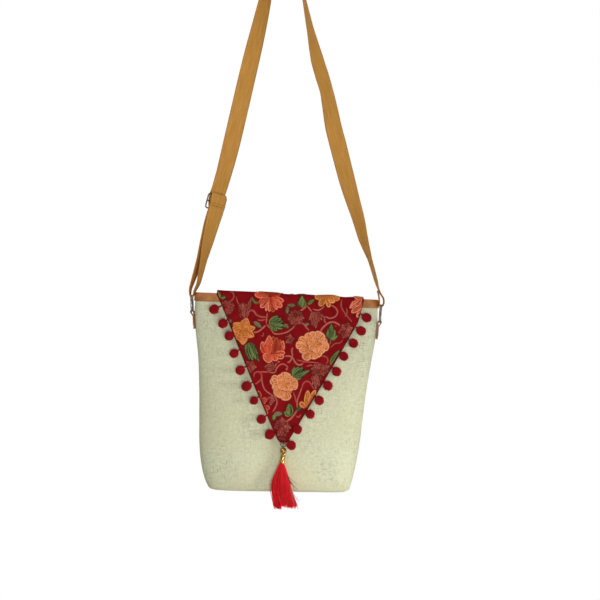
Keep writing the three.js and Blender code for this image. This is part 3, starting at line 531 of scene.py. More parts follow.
def grid(points, uv=None, wrap=False, closed=False):
    """Points, quads and quad corners' UV of a grid: wrap joins its columns and closed its rows.
    A wrapped grid's UV has one more column than its points, and a closed one's one more row."""
    rows, columns = points.shape[:2]
    r, c = np.mgrid[0 : rows if closed else rows - 1, 0 : columns if wrap else columns - 1]
    here, below = r * columns, (r + 1) % rows * columns
    right = (c + 1) % columns
    quads = np.stack([here + c, here + right, below + right, below + c], -1).reshape(-1, 4)
    if uv is None:
        return points.reshape(-1, 3), quads, None
    corners = np.stack([uv[r, c], uv[r, c + 1], uv[r + 1, c + 1], uv[r + 1, c]], 2)
    return points.reshape(-1, 3), quads, corners.reshape(-1, 2)


def tubes(lines, radii, sides=6):
    """Points and quads of a tube round each of some lines; the radii go with the lines' points."""
    count, steps = lines.shape[:2]
    along = unit(np.gradient(lines, axis=1))
    aside = np.where(np.abs(along[..., 1:2]) < 0.9, ALONG_Y, ALONG_X)
    across = unit(np.cross(along, aside))
    radii = np.broadcast_to(radii, lines.shape[:2])[..., None, None]
    points = lines[:, :, None] + radii * hoops(across, np.cross(along, across), sides)
    t, r, c = np.mgrid[0:count, 0 : steps - 1, 0:sides]
    row = (t * steps + r) * sides
    right = (c + 1) % sides
    quads = np.stack([row + c, row + right, row + sides + right, row + sides + c], -1)
    return points.reshape(-1, 3), quads.reshape(-1, 4)


def merged(parts):
    """Several (points, faces) as one."""
    points, faces, start = [], [], 0
    for more, quads in parts:
        points.append(more)
        faces.append(quads + start)
        start += len(more)
    return np.concatenate(points), np.concatenate(faces)


def added(name, data):
    """A new object in the scene."""
    made = bpy.data.objects.new(name, data)
    bpy.context.scene.collection.objects.link(made)
    return made


def piece(name, shape, look, replaces=(), colours=None, sharp=None):
    """A mesh of points, faces and any UV in the row frame, as a piece that rides on the bag."""
    points, faces, uv = (*shape, None)[:3]
    mesh = bpy.data.meshes.new(name)
    mesh.from_pydata((points / 1000).tolist(), [], faces.tolist())
    if uv is not None:
        mesh.uv_layers.new(name="cloth").data.foreach_set("uv", (uv / 1000).ravel())
    if colours is not None:
        shades = np.ones((len(points), 4))
        shades[:, :3] = colours
        thread = mesh.color_attributes.new("thread", "FLOAT_COLOR", "POINT")
        thread.data.foreach_set("color", shades.ravel())
    whole = bmesh.new()
    whole.from_mesh(mesh)
    bmesh.ops.recalc_face_normals(whole, faces=whole.faces)
    whole.to_mesh(mesh)
    whole.free()
    mesh.shade_smooth()
    if sharp:
        mesh.set_sharp_from_angle(angle=math.radians(sharp))
    mesh.materials.append(look)
    made = added(name, mesh)
    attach(made, "root")
    if replaces:
        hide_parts(*replaces)
    return made


# Materials


class Value:
    """A number that nodes work out, open to plain arithmetic."""

    def __init__(self, nodes, socket):
        self.nodes = nodes
        self.socket = socket

    def by(self, operation, *others):
        return self.nodes.value("Math", [self, *others], operation=operation)

    def __add__(self, other):
        return self.by("ADD", other)

    def __sub__(self, other):
        return self.by("SUBTRACT", other)

    def __rsub__(self, other):
        return self * -1 + other

    def __mul__(self, other):
        return self.by("MULTIPLY", other)

    def __truediv__(self, other):
        return self.by("DIVIDE", other)

    def __abs__(self):
        return self.by("ABSOLUTE")

    def wave(self, length):
        return (self * (2 * math.pi / length)).by("SINE")

    def within(self, low, high, first=0, last=1):
        """The first number at low and beyond, the last one at high and beyond, and even between."""
        return self.nodes.value("MapRange", [self, low, high, first, last])


class Nodes:
    """The nodes of a material or of the world, with short calls that add some."""

    def __init__(self, tree):
        self.tree = tree

    def give(self, value, socket):
        if isinstance(value, Value):
            value = value.socket
        if isinstance(value, bpy.types.NodeSocket):
            self.tree.links.new(value, socket)
        elif hasattr(value, "__len__") and socket.type == "RGBA":
            socket.default_value = (*value, 1)
        else:
            socket.default_value = value

    def node(self, kind, inputs=(), **settings):
        """A node, with its inputs in a list or by name."""
        made = self.tree.nodes.new("ShaderNode" + kind)
        for setting, value in settings.items():
            setattr(made, setting, value)
        for key, value in inputs.items() if isinstance(inputs, dict) else enumerate(inputs):
            self.give(value, made.inputs[key])
        return made

    def value(self, kind, inputs=(), **settings):
        return Value(self, self.node(kind, inputs, **settings).outputs[0])


class Look(Nodes):
    """A material, with short calls for what makes its pattern."""

    def __init__(self, name, sockets):
        self.material = bpy.data.materials.new(name)
        self.material.use_nodes = True
        super().__init__(self.material.node_tree)
        self.shader = self.tree.nodes["Principled BSDF"]
        for socket, value in sockets.items():
            self.set(socket, value)

    def set(self, socket, value):
        self.give(value, self.shader.inputs[socket])

    def mix(self, share, first, second, blend="MIX"):
        inputs = {0: share, 6: first, 7: second}
        return self.node("Mix", inputs, data_type="RGBA", blend_type=blend).outputs[2]

    def cloth(self):
        """Across and along the cloth, in millimetres."""
        place = self.node("SeparateXYZ", [self.value("UVMap", uv_map="cloth")])
        return [Value(self, place.outputs[k]) * 1000 for k in (0, 1)]

    def place(self):
        """Where on the object, in metres."""
        return self.node("TexCoord").outputs["Object"]

    def noise(self, vector, scale, detail=2):
        return self.value("TexNoise", {"Vector": vector, "Scale": scale, "Detail": detail})

    def streaks(self, u, v, wide, long, detail=2):
        """Noise that runs along v."""
        return self.noise(self.value("CombineXYZ", [u / wide, v / long]), 1, detail)

    def bump(self, height, strength, distance):
        inputs = {"Strength": strength, "Distance": distance / 1000, "Height": height}
        self.set("Normal", self.value("Bump", inputs))


def threads_over(u, v, pitch):
    """How high warp and weft stand in a plain weave, and how deep the holes between them are, which the
    looks darken as painted shade.
    """
    across, along = u.wave(2 * pitch), v.wave(2 * pitch)
    over = across * along * 0.35
    warp, weft = abs(across) * (over + 0.7), abs(along) * (0.7 - over)
    height = warp.by("MAXIMUM", weft)
    return height, height.within(0.42, 0.12)


def jute_look():
    look = Look("jute", {"Roughness": 0.95, "Specular IOR Level": 0.05})
    u, v = look.cloth()
    wander, stray = ((look.streaks(*way, 3, 30) - 0.5) * 1.6 for way in ((u, v), (v, u)))
    height, hole_shade = threads_over(u + wander, v + stray, 1.7)
    warp, weft = look.streaks(u, v, 1.3, 24, 3), look.streaks(v, u, 1.3, 18, 3)
    mottle = look.streaks(u, v, 1.5, 1.5, 3) + look.streaks(u, v, 4, 4, 3)
    yarn = warp + weft + mottle * 2
    pale = look.mix(yarn.within(2.3, 3.7), srgb(194, 196, 163), srgb(222, 224, 192))
    sallow = look.streaks(u, v, 80, 70).within(0.35, 0.65) * v.within(300, 90)
    thread = look.mix(sallow * 0.6, pale, srgb(206, 198, 156))
    patchy = look.streaks(u, v, 34, 60, 3).within(0.45, 0.75) + 0.4
    fleck = look.streaks(v, u, 1.3, 9, 1)
    slub = look.streaks(u, v, 1.3, 11, 1)
    thin = fleck.within(0.58, 0.7).by("MAXIMUM", slub.within(0.6, 0.72)) * 0.62 * patchy
    thread = look.mix(fleck.within(0.6, 0.72) * 0.3, thread, srgb(240, 238, 206))
    # Painted shade in the open holes of the weave, patchy; the same dark colour also marks the jute's dark
    # flecks.
    painted_hole_shade = hole_shade * 0.45 * (patchy + 0.3)
    look.set("Base Color", look.mix(painted_hole_shade.by("MAXIMUM", thin), thread, srgb(127, 127, 98)))
    look.bump(height + warp * 0.3, 0.5, 0.4)
    return look.material


def cloth_look():
    look = Look("embroidered_ground", {"Roughness": 0.9, "Specular IOR Level": 0.08})
    u, v = look.cloth()
    height, hole_shade = threads_over(u, v, 0.6)
    worn = look.streaks(u, v, 9, 14, 4).within(0.3, 0.7)
    ground = look.mix(worn, srgb(118, 7, 14), srgb(142, 13, 20))
    # Painted shade in the holes between the threads.
    look.set("Base Color", look.mix(hole_shade * 0.5, ground, srgb(70, 6, 10)))
    look.bump(height, 0.35, 0.2)
    return look.material


def thread_look(name, roughness, shine):
    """Thread in the colours that its mesh carries, uneven along its length."""
    look = Look(name, {"Roughness": roughness, "Specular IOR Level": shine})
    colour = look.value("VertexColor", layer_name="thread")
    uneven = look.noise(look.place(), 900, 3).within(0.3, 0.7)
    light = look.mix(uneven, (0.82, 0.8, 0.8), (1.08, 1.06, 1.04))
    look.set("Base Color", look.mix(1, colour, light, "MULTIPLY"))
    look.bump(look.noise(look.place(), 2600), 0.4, 0.15)
    return look.material


def webbing_look():
    look = Look("webbing", {"Roughness": 0.9, "Specular IOR Level": 0.08})
    u, v = look.cloth()
    twill = (v + u.by("PINGPONG", 3.1)).wave(1.5)
    height = abs(u.wave(3.1)) + twill * 0.3
    yarn = look.streaks(u, v, 1.2, 30, 3).within(0.3, 0.7)
    tan = look.mix(yarn, srgb(188, 132, 58), srgb(214, 160, 82))
    # Darker in the grooves between the ribs, as painted shade.
    tan_with_groove_shade = look.mix(height.within(0.45, -0.1) * 0.55, tan, srgb(151, 97, 45))
    selvedge = abs(u).within(11.2, 12.3)
    look.set("Base Color", look.mix(selvedge * 0.45, tan_with_groove_shade, srgb(150, 88, 48)))
    look.bump(height, 0.5, 0.35)
    return look.material


def leather_look():
    look = Look("leather", {"Roughness": 0.5, "Specular IOR Level": 0.4})
    place = look.place()
    grain = look.value("TexVoronoi", {"Vector": place, "Scale": 1100}, feature="DISTANCE_TO_EDGE")
    crease = grain.within(0, 0.12)
    worn = look.noise(place, 70, 5).within(0.35, 0.68)
    tan = look.mix(worn, srgb(170, 104, 52), srgb(208, 142, 80))
    look.set("Base Color", look.mix(crease, srgb(136, 78, 38), tan))
    look.set("Roughness", worn * 0.18 + 0.42)
    look.bump(crease, 0.25, 0.15)
    return look.material


def metal_look(name, bright, dull):
    look = Look(name, {"Metallic": 1, "Roughness": 0.2})
    place = look.place()
    worn = look.noise(place, 240, 4).within(0.4, 0.72)
    look.set("Base Color", look.mix(worn * 0.6, srgb(*bright), srgb(*dull)))
    look.set("Roughness", worn * 0.16 + 0.16)
    look.bump(look.noise(place, 900, 3), 0.06, 0.1)
    return look.material


JUTE_LOOK = jute_look()
CLOTH_LOOK = cloth_look()
STITCH_LOOK = thread_look("embroidery_silk", 0.55, 0.2)
YARN_LOOK = thread_look("yarn", 0.95, 0.05)
TASSEL_LOOK = thread_look("tassel_silk", 0.5, 0.15)
SEWING_LOOK = thread_look("sewing_thread", 0.8, 0.1)
WEBBING_LOOK = webbing_look()
LEATHER_LOOK = leather_look()
NICKEL_LOOK = metal_look("nickel", (124, 117, 109), (54, 49, 45))
GILT_LOOK = metal_look("gilt", (186, 143, 76), (98, 68, 34))


# The jute body


def dent(x, z):
    return sum(deep * bell((x - at) / wide) * bell((z - up) / tall) for at, up, deep, wide, tall in DENTS)


def body_point(turn, z, grow=0):
    """A point of the body's surface, grown outwards; turn 0 is the right side and the front has sin < 0."""
    cos, sin = np.cos(turn), np.sin(turn)
    power = 2 / BODY.smooth("square", z)
    half = np.where(cos > 0, BODY.smooth("right", z), BODY.smooth("left", z)) + grow
    x = half * np.sign(cos) * np.abs(cos) ** power
    y = (BODY.smooth("depth", z) + grow) * np.sign(sin) * np.abs(sin) ** power
    y = np.where(sin < 0, y + dent(x, z), y)
    return joined(x, y, z * (1 - SKEW * x))


def even_turns(count, z=-140):
    """Turns that part the body's outline into even lengths, from the middle of the back round."""
    turn = math.pi / 2 + np.linspace(0, 2 * math.pi, 4001)
    length = run(body_point(turn, z))
    return np.interp(np.arange(count) / count * length[-1], length, turn)


def cloth_map(rows):
    """UV of a wrapped grid in millimetres: round it from the middle of the front, and along its height."""
    looped = np.concatenate([rows, rows[:, :1]], 1)
    round_it = np.array([run(row) for row in looped])
    round_it -= round_it[:, -1:] / 2
    rise = np.linalg.norm(np.diff(rows, axis=0), axis=2).mean(1)
    up = np.concatenate([[0], np.cumsum(rise)])
    return joined(round_it, up[:, None])


def jute_body():
    turns = even_turns(200)
    heights = np.concatenate([np.linspace(FOOT, -262, 14), np.linspace(-258, 0, 66)])
    outside = [body_point(turns, z) for z in heights]
    inside = [body_point(turns, z, -JUTE) for z in np.linspace(0, -274, 40)]
    base = [outside[0] * (share, share, 1) for share in (0.02, 0.35, 0.65, 0.88)]
    low = inside[-1] * (1, 1, 0) + (0, 0, FOOT + JUTE)
    floor = [low * (share, share, 1) for share in (0.95, 0.6, 0.02)]
    rows = np.array([*base, *outside, *inside, *floor])
    piece("jute_body", grid(in_row(rows), cloth_map(rows), wrap=True), JUTE_LOOK, ["body"])


def rounded(corners, times=2):
    """A closed outline with its corners cut off, again and again."""
    for _ in range(times):
        after = np.roll(corners, -1, axis=0)
        corners = np.stack([0.75 * corners + 0.25 * after, 0.25 * corners + 0.75 * after], 1).reshape(-1, 2)
    return corners


def rim_binding():
    outer, inner = GAP + LEATHER, -JUTE - GAP - LEATHER
    section = rounded(np.array([
        (GAP, -11), (outer, -11), (outer, -6), (outer, 0.6), (outer - 1.1, 1.6), (inner + 1.1, 1.6),
        (inner, 0.6), (inner, -4), (inner, -9), (-JUTE - GAP, -9), (-JUTE - GAP, GAP), (GAP, GAP),
    ]))
    turns = even_turns(220)
    rows = []
    for grow, z in section:
        ring = body_point(turns, min(z, 0), grow)
        ring[:, 2] = z
        rows.append(ring)
    shape = grid(in_row(np.array(rows)), wrap=True, closed=True)
    piece("leather_binding", shape, LEATHER_LOOK, ["rim_binding"])
    count = 168
    along = even_turns(count)[:, None] + np.linspace(-0.4, 0.4, 5) * 2 * math.pi / count
    seam("binding_seam", in_row(body_point(along, -9.2, outer + 0.05)), "binding seam", 0.32)


def seam(name, lines, dye, radius):
    """Sewn stitches, each a short thread that dips in at both ends."""
    taper = np.array([0.45, 0.9, 1, 0.9, 0.45]) * radius
    piece(name, tubes(lines, taper), SEWING_LOOK, colours=dyed(dye))


# The flap


def front_depth(x, z, grow=0):
    half = np.where(x > 0, BODY.smooth("right", z), BODY.smooth("left", z)) + grow
    power = BODY.smooth("square", z)
    share = np.minimum(1, np.abs(x) / half)
    return (BODY.smooth("depth", z) + grow) * (1 - share**power) ** (1 / power)


def flap_depth(x, z):
    """How far in front of the bag's middle plane the middle of the flap's cloth hangs."""
    hang = front_depth(x, z, FLAP_EDGES.straight("off", z)) - dent(x, z)
    for at, puff, wide, reach, lean in FLAP_FOLDS:
        hang = hang + puff * bell((x - at - lean * z) / wide) * np.exp(z / reach)
    return hang


def mouth_span(x):
    """How far the cloth reaches over the mouth, in front of the middle and behind it."""
    return flap_depth(x, FLAP_TOP), front_depth(x, 0, 3.2)


def flap_middle(x, up):
    """The middle of the flap's cloth, measured up it: the front below 0, then the mouth, then the back."""
    near, far = mouth_span(x)
    over = up - FLAP_TOP
    y = over - near
    share = np.clip(np.where(y < 0, y / near, y / far), -1, 1)
    crown = FLAP_TOP + (FLAP_WAVES.smooth("lift", x) - FLAP_TOP) * (1 - np.abs(share) ** 8)
    fall = FLAP_TOP - (over - near - far)
    behind = np.minimum(fall, FLAP_TOP)
    off_back = front_depth(x, behind, FLAP_BEHIND.straight("off", behind))
    front = joined(x, -flap_depth(x, np.minimum(up, FLAP_TOP)), up)
    mouth = joined(x, y, crown)
    back = joined(x, off_back, fall)
    return np.where((over < 0)[..., None], front, np.where((over < near + far)[..., None], mouth, back))


def flap_end(x):
    """How far up the cloth its sewn back edge is."""
    return FLAP_TOP + sum(mouth_span(x)) + FLAP_TOP - FLAP_BACK


def flap_point(x, up, out=0.0):
    """A point on the flap, raised off the middle of its cloth, and the way out of the cloth there."""
    step = 0.5
    along = flap_middle(x, up + step) - flap_middle(x, up - step)
    across = flap_middle(x + step, up) - flap_middle(x - step, up)
    normal = unit(np.cross(across, along))
    return flap_middle(x, up) + normal * np.asarray(out)[..., None], normal


def flap_cloth():
    columns = 96
    share = np.linspace(0, 1, columns)

    def across_at(z):
        left, right = FLAP_EDGES.straight("left", z), FLAP_EDGES.straight("right", z)
        return left + (right - left) * share

    top = across_at(FLAP_TOP)
    mouth = sum(mouth_span(top))
    back = np.linspace(FLAP_BACK, FLAP_TOP, 20, endpoint=False)
    rows = [(top, FLAP_TOP + mouth + FLAP_TOP - z) for z in back]
    rows += [(top, FLAP_TOP + part * mouth) for part in np.linspace(1, 0, 28, endpoint=False)]
    rows += [(across_at(z), np.full(columns, z)) for z in np.linspace(FLAP_TOP, FLAP_TIP, 130)]
    across, up = np.moveaxis(np.array(rows), 1, 0)
    hem = 0.35 * (bell(share * 30) + bell((share - 1) * 30))
    front, _ = flap_point(across, up, CLOTH / 2 + hem - 0.1)
    behind, _ = flap_point(across, up, -CLOTH / 2)
    skin = np.concatenate([front, behind[:, ::-1]], 1)
    uv = joined(across, up)
    uv = np.concatenate([uv, uv[:, ::-1], uv[:, :1]], 1)
    shape = capped(grid(in_row(skin), uv, wrap=True), 2 * columns)
    return piece("flap_cloth", shape, CLOTH_LOOK, ["flap"])


def edge_line(side, steps):
    """Points along one edge of the flap's front, from its top."""
    z = np.linspace(FLAP_TOP, FLAP_TIP, steps)
    return flap_point(FLAP_EDGES.straight(side, z), z)[0]


# Embroidery: stitches gathered as lines on the flap, then made as one mesh

class Stitches:
    """Lines of thread on the flap: places, height off the cloth, thickness and colour, each by points."""

    def __init__(self, seed):
        self.places, self.outs, self.radii, self.shades = [], [], [], []
        self.rng = np.random.default_rng(seed)

    def add(self, places, outs, radius, shades):
        x, up = places[..., 0], places[..., 1]
        left = FLAP_EDGES.straight("left", up) + STITCH_INSET
        right = FLAP_EDGES.straight("right", up) - STITCH_INSET
        end = flap_end(x) - STITCH_INSET
        keep = ((x > left) & (x < right) & (up < end))[:, STITCH_POINTS // 2]
        x, up = np.clip(x, left, right), np.minimum(up, end)
        tint = 1 + self.rng.normal(0, 0.07, (len(places), 1, 1))
        self.places.append(joined(x, up)[keep])
        self.outs.append(np.broadcast_to(outs, x.shape)[keep])
        self.radii.append(np.broadcast_to(radius, x.shape)[keep])
        self.shades.append((shades * tint)[keep])

    def make(self, name):
        places, outs = np.concatenate(self.places), np.concatenate(self.outs)
        radii, shades = np.concatenate(self.radii)[..., None], np.concatenate(self.shades)
        flatter = np.interp(places[..., 1], (-8, 0), (1, 0.35))
        middle, normal = flap_point(places[..., 0], places[..., 1], outs * flatter + CLOTH / 2)
        side = unit(np.cross(np.gradient(middle, axis=1), normal)) * radii
        sunk = middle - normal * 0.3
        rails = np.stack([sunk - side, middle + normal * radii, sunk + side], 2)
        t, r, c = np.mgrid[0 : len(rails), 0 : STITCH_POINTS - 1, 0:2]
        row = (t * STITCH_POINTS + r) * 3 + c
        quads = np.stack([row, row + 1, row + 4, row + 3], -1).reshape(-1, 4)
        colours = np.clip(np.repeat(shades[:, :, None], 3, 2), 0, 1).reshape(-1, 3)
        shape = in_row(rails.reshape(-1, 3)), quads
        return piece(name, shape, STITCH_LOOK, colours=colours)


def silk_shades(silk, share):
    """A silk's colours from its darkest (0), also used as painted shade between petals, through its middle
    (0.5) to its rim (1).
    """
    tones = np.array([srgb(*tone) for tone in SILKS[silk]])
    return np.stack([np.interp(share, [0, 0.5, 1], tones[:, k]) for k in range(3)], -1)


def spots_along(line, at):
    """The places at some lengths along a line on the flap."""
    return np.stack([np.interp(at, run(line), line[:, k]) for k in (0, 1)], -1)


def couch(stitches, silk, line, radius, lift, tone):
    """A thread laid along a line, as a chain of stitches."""
    length = run(line)[-1]
    count = max(1, round(length / 4))
    at = (np.arange(count)[:, None] + np.linspace(0, 1, STITCH_POINTS)) * length / count
    stitches.add(spots_along(line, at), lift, radius, silk_shades(silk, np.full(at.shape, tone)))


def petal(stitches, silk, kind, foot, tip, width, lift):
    """Satin stitch in a petal: threads that fan from its foot, between a dark line of painted shade and a
    light rim.
    """
    sewn = KINDS[kind]
    pointed = kind in POINTED
    foot, tip = np.array(foot, float), np.array(tip, float)
    long = np.linalg.norm(tip - foot)
    along = (tip - foot) / long
    across = np.array([along[1], -along[0]])

    def spot(u, t, wider=0.0):
        """The place u across the petal and t up it."""
        if pointed:
            spread = 0.12 + 0.88 * np.sin(math.pi * np.clip(t, 0, 1) ** 0.75)
        else:
            spread = 0.35 + 0.65 * np.sin(np.minimum(1, t / 0.6) * math.pi / 2)
        rise, aside = t * (long + wider), u * (width / 2 * spread + wider)
        return foot + along * rise[..., None] + across * aside[..., None]

    def reach(u):
        return 1 - 0.08 * np.abs(u) if pointed else 0.58 + 0.42 * np.sqrt(1 - np.minimum(1, u * u))

    def edge(wider, low):
        """The petal's outline, from part of the way up and so much beyond its threads."""
        rise, turn = np.linspace(low, 0.98, 9) * reach(1), np.linspace(-1, 1, 17)
        left, right = (spot(side, rise, wider) for side in (-1, 1))
        return np.concatenate([left, spot(turn, reach(turn), wider), right[::-1]])

    count = max(3, round(width / sewn["pitch"]))
    u = (np.arange(count) + 0.5) / count * 2 - 1
    ends = reach(u) + stitches.rng.normal(0, 0.012, count)
    share = np.linspace(0, 1, STITCH_POINTS)
    t = share * ends[:, None]
    dome = np.sqrt(1 - 0.9 * u * u)[:, None] * np.sin(math.pi * (0.1 + 0.82 * share))
    streak = np.repeat(stitches.rng.normal(0, sewn["uneven"], count // 3 + 1), 3)[:count, None]
    streak = streak + stitches.rng.normal(0, sewn["uneven"] / 2, t.shape)
    tone = 0.42 + 0.12 * share + streak
    stitches.add(spot(u[:, None], t), lift + sewn["pad"] * dome, sewn["thread"], silk_shades(silk, tone))
    if kind in FLOWERS:
        seeds(stitches, silk, spot, width * long, long, lift + sewn["pad"])
    # The dark line just beyond the threads is painted shade between overlapping petals and round the
    # flower.
    couch(stitches, silk, edge(0.5, 0.5), 0.5, lift + 0.4 * sewn["pad"], 0)
    couch(stitches, silk, edge(-0.5, 0.6), sewn["rim"], lift + 0.7 * sewn["pad"], 1)


def seeds(stitches, silk, spot, area, long, lift):
    """Short stitches scattered over a petal, some dark and some light."""
    count = round(area / 26)
    u, t = stitches.rng.uniform(-0.7, 0.7, (count, 1)), stitches.rng.uniform(0.35, 0.8, (count, 1))
    t = t + np.linspace(0, 2.4, STITCH_POINTS) / long
    tone = np.where(stitches.rng.uniform(size=(count, 1)) < 0.55, 0, 0.9) + 0 * t
    stitches.add(spot(u, t), lift, 0.42, silk_shades(silk, tone))


def motif(stitches, silk, kind, middle, inset, tips):
    """A flower or leaf: a darker fill under petals that overlap from the hindmost to the foremost."""
    middle = np.array(middle, float)
    if kind in FLOWERS and len(tips) > 4:
        spots = np.array([(x, up) for x, up, _ in tips])
        low, high = spots.min(0), spots.max(0)
        ground(stitches, silk, (low + high) / 2, *((high - low) * 0.36))
    if kind == "faint":
        tips = [np.mean(pair, 0) for pair in zip(tips, tips[1:])] + tips
    for k, (x, up, width) in enumerate(tips):
        foot = middle + inset * (np.array((x, up)) - middle)
        petal(stitches, silk, kind, foot, (x, up), width, 0.15 + 0.8 * k / len(tips))
    if kind == "leaf":
        vein = np.array(tips[-1][:2]) - middle
        couch(stitches, silk, middle + vein * np.linspace(0, 0.85, 6)[:, None], 0.5, 1.3, 0.9)


def ground(stitches, silk, middle, wide, tall):
    """A flat fill of dark thread under a flower's petals."""
    count = max(3, round(2 * wide / 0.6))
    u = (np.arange(count) + 0.5) / count * 2 - 1
    t = np.linspace(-1, 1, STITCH_POINTS) * np.sqrt(1 - u * u)[:, None]
    places = joined(middle[0] + wide * u[:, None], middle[1] + tall * t)
    stitches.add(places, 0.1, 0.36, silk_shades(silk, stitches.rng.normal(0.44, 0.12, t.shape)))


def stem(stitches, silk, width, points):
    """Stem stitch: short threads that lie slantwise over each other like a rope."""
    stitch, step = 3.6, 1.0
    line = spline(points, 24, 0)
    length = run(line)[-1]
    count = max(2, int((length - stitch) / step))
    t = np.linspace(0, 1, STITCH_POINTS)
    arch = np.sin(math.pi * t)
    at = np.arange(count)[:, None] * step + t * stitch
    places = spots_along(line, at)
    along = unit(np.gradient(places, axis=1))
    across = joined(along[..., 1], -along[..., 0])
    slim = np.minimum(1, 0.45 + np.minimum(at, length - at) / 8)
    places = places + across * (width * 0.42 * slim * (2 * t - 1))[..., None]
    # Each stitch is lighter at its crest and darker where it dips under the next: painted light and shade.
    shades = silk_shades(silk, 0.29 + 0.5 * arch + 0 * at)
    stitches.add(places, 0.15 + 0.35 * arch, 0.3 * width * slim, shades)


def repeats(places):
    """The shifts at which a motif shows: where it is charted and, for some, once more up the cloth."""
    middle = np.mean([up for _, up in places])
    again = REPEAT["low"] < middle < REPEAT["high"]
    return [0, REPEAT["up"]] if again else [0]


def embroidery():
    def up_by(shift, points):
        return [(p[0], p[1] + shift, *p[2:]) for p in points]

    blooms, greens = Stitches(11), Stitches(12)
    for silk, width, points in STEMS:
        for shift in repeats(points):
            stem(greens, silk, width, up_by(shift, points))
    for silk, kind, middle, inset, tips in MOTIFS:
        for shift in repeats([middle]):
            sewn = blooms if kind in FLOWERS else greens
            motif(sewn, silk, kind, up_by(shift, [middle])[0], inset, up_by(shift, tips))
    return [blooms.make("embroidered_flowers"), greens.make("embroidered_leaves_and_stems")]


# The braid and pompoms along the flap's edges


def braid(side):
    """Two strands twisted round each other along the flap's edge."""
    line = edge_line(side, 420)
    along = unit(np.gradient(line, axis=0))
    out = unit(np.cross(along, ALONG_Y)) * (1 if side == "left" else -1)
    front = np.cross(along, out)
    strands = []
    for start in (0, math.pi):
        turn = (2 * math.pi * run(line) / 3.6 + start)[:, None]
        strands.append(line + 0.55 * (out * np.cos(turn) + front * np.sin(turn)))
    return tubes(np.array(strands), 0.62)


def edge_braids():
    points, quads = merged([braid("left"), braid("right")])
    shape = in_row(points), quads
    return piece("edge_braid", shape, SEWING_LOOK, colours=dyed("braid"))


def pompom_place(side, across, z, radius):
    """A pompom's middle, and where its stem leaves the flap's edge."""
    room = radius * POMPOM["stretch"] + POMPOM["lump"] + GAP
    edge = FLAP_EDGES.straight(side, z)
    apart = EDGE_SLANT * (across - edge)
    on_body = front_depth(across, z) - dent(across, z) + room
    beside = room**2 - apart**2
    on_flap = flap_depth(edge, z) + CLOTH / 2 + math.sqrt(beside) if beside > 0 else 0
    root_z = max(z + POMPOM["hang"], FLAP_TIP + LAST_STEM_UP)
    root_x = FLAP_EDGES.straight(side, root_z)
    centre = np.array([across, -max(on_body, on_flap), z])
    return centre, np.array([root_x, -flap_depth(root_x, root_z), root_z])


def tufts(count, radius, rng):
    """Cut ends of yarn all over a ball, each a tapering tuft, and how light their points are: darker at the
    roots as painted shade, lighter at the tips as painted light.
    """
    way = unit(rng.normal(0, 1, (count, 3)))
    tip = way * (radius * rng.normal(0.98, 0.03, (count, 1))) + rng.normal(0, 0.35, way.shape)
    foot = way * radius * 0.7
    lines = foot[:, None] + (tip - foot)[:, None] * np.array([0, 0.7, 1.0])[:, None]
    light = np.array([0.75, 0.95, 1.15]) * rng.normal(1, 0.12, (count, 1))
    return tubes(lines, np.array([0.55, 0.5, 0.12]), 3), np.repeat(light.ravel(), 3)


def core(radius, rng):
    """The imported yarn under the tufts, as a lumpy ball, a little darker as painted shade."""
    turn = np.linspace(0.05, math.pi - 0.05, 12)
    ball = lathe(joined(np.sin(turn), np.cos(turn)), 18)
    ball = ball * (radius * rng.normal(0.88, 0.015, (*ball.shape[:2], 1)))
    return grid(ball, wrap=True)[:2], np.full(ball.shape[0] * ball.shape[1], 0.85)


def pompom(side, number, across, z, size):
    rng = np.random.default_rng(number + (100 if side == "right" else 0))
    radius = POMPOM["radius"] * size
    centre, root = pompom_place(side, across, z, radius)
    ends, ends_painted_light = tufts(900, radius, rng)
    middle, core_painted_shade = core(radius, rng)
    points, quads = merged([ends, middle])
    aim = unit(root - centre)
    points = points + np.outer(points @ aim, aim) * (POMPOM["stretch"] - 1)
    stem_line = root + (centre - root) * np.linspace(0, 0.8, 8)[:, None]
    cord = tubes(stem_line[None], POMPOM["stem"] * np.linspace(1.1, 1.5, 8)[None])
    points, quads = merged([(points + centre, quads), cord])
    # Painted light on the tufts and painted shade on the core; the stem cord is darker, at 0.45.
    light = np.concatenate([ends_painted_light, core_painted_shade, np.full(len(cord[0]), 0.45)])
    shade = np.clip(dyed("pompom") * light[:, None], 0, 1)
    name = f"pompom_{side}_{number}"
    return piece(f"yarn_{name}", (in_row(points), quads), YARN_LOOK, [name], colours=shade)


def pompoms():
    return [
        pompom(side, number, *place)
        for side, places in POMPOMS.items()
        for number, place in enumerate(places, 1)
    ]


# The strap


def leg_frame(leg, down):
    """The middle of a leg, the way up it, the way across its webbing and the way to its front."""
    centre = np.array([leg.smooth("side", down), 0, -down])
    above = np.array([leg.smooth("side", down - 1), 0, 1 - down])
    up = unit(above - centre)
    across = width_at(leg.smooth("turn", down))
    across = unit(across - up * (across @ up))
    return centre, up, across, np.cross(across, up)


def width_at(degrees):
    turn = math.radians(degrees)
    return np.array([math.sin(turn), math.cos(turn), 0])


def strap_stations():
    """Every station of the one length of webbing: its middle and the way its width lies."""
    stations = []
    for down, up, front in LEFT_END:
        centre, rise, across, face = leg_frame(LEFT_LEG, down)
        stations.append((centre + face * front + rise * up, across))
    rising = [row for row in LEFT_LEG.rows[::-1] if row[0] < 310]
    looped = [(RIGHT_BAR["down"] + down, RIGHT_BAR["side"] + side, 0) for down, side in RIGHT_END]
    for down, side, turn in [*rising, (0, 0, 0), *RIGHT_LEG.rows, *looped]:
        stations.append((np.array([side, 0, -down]), width_at(turn)))
    return stations


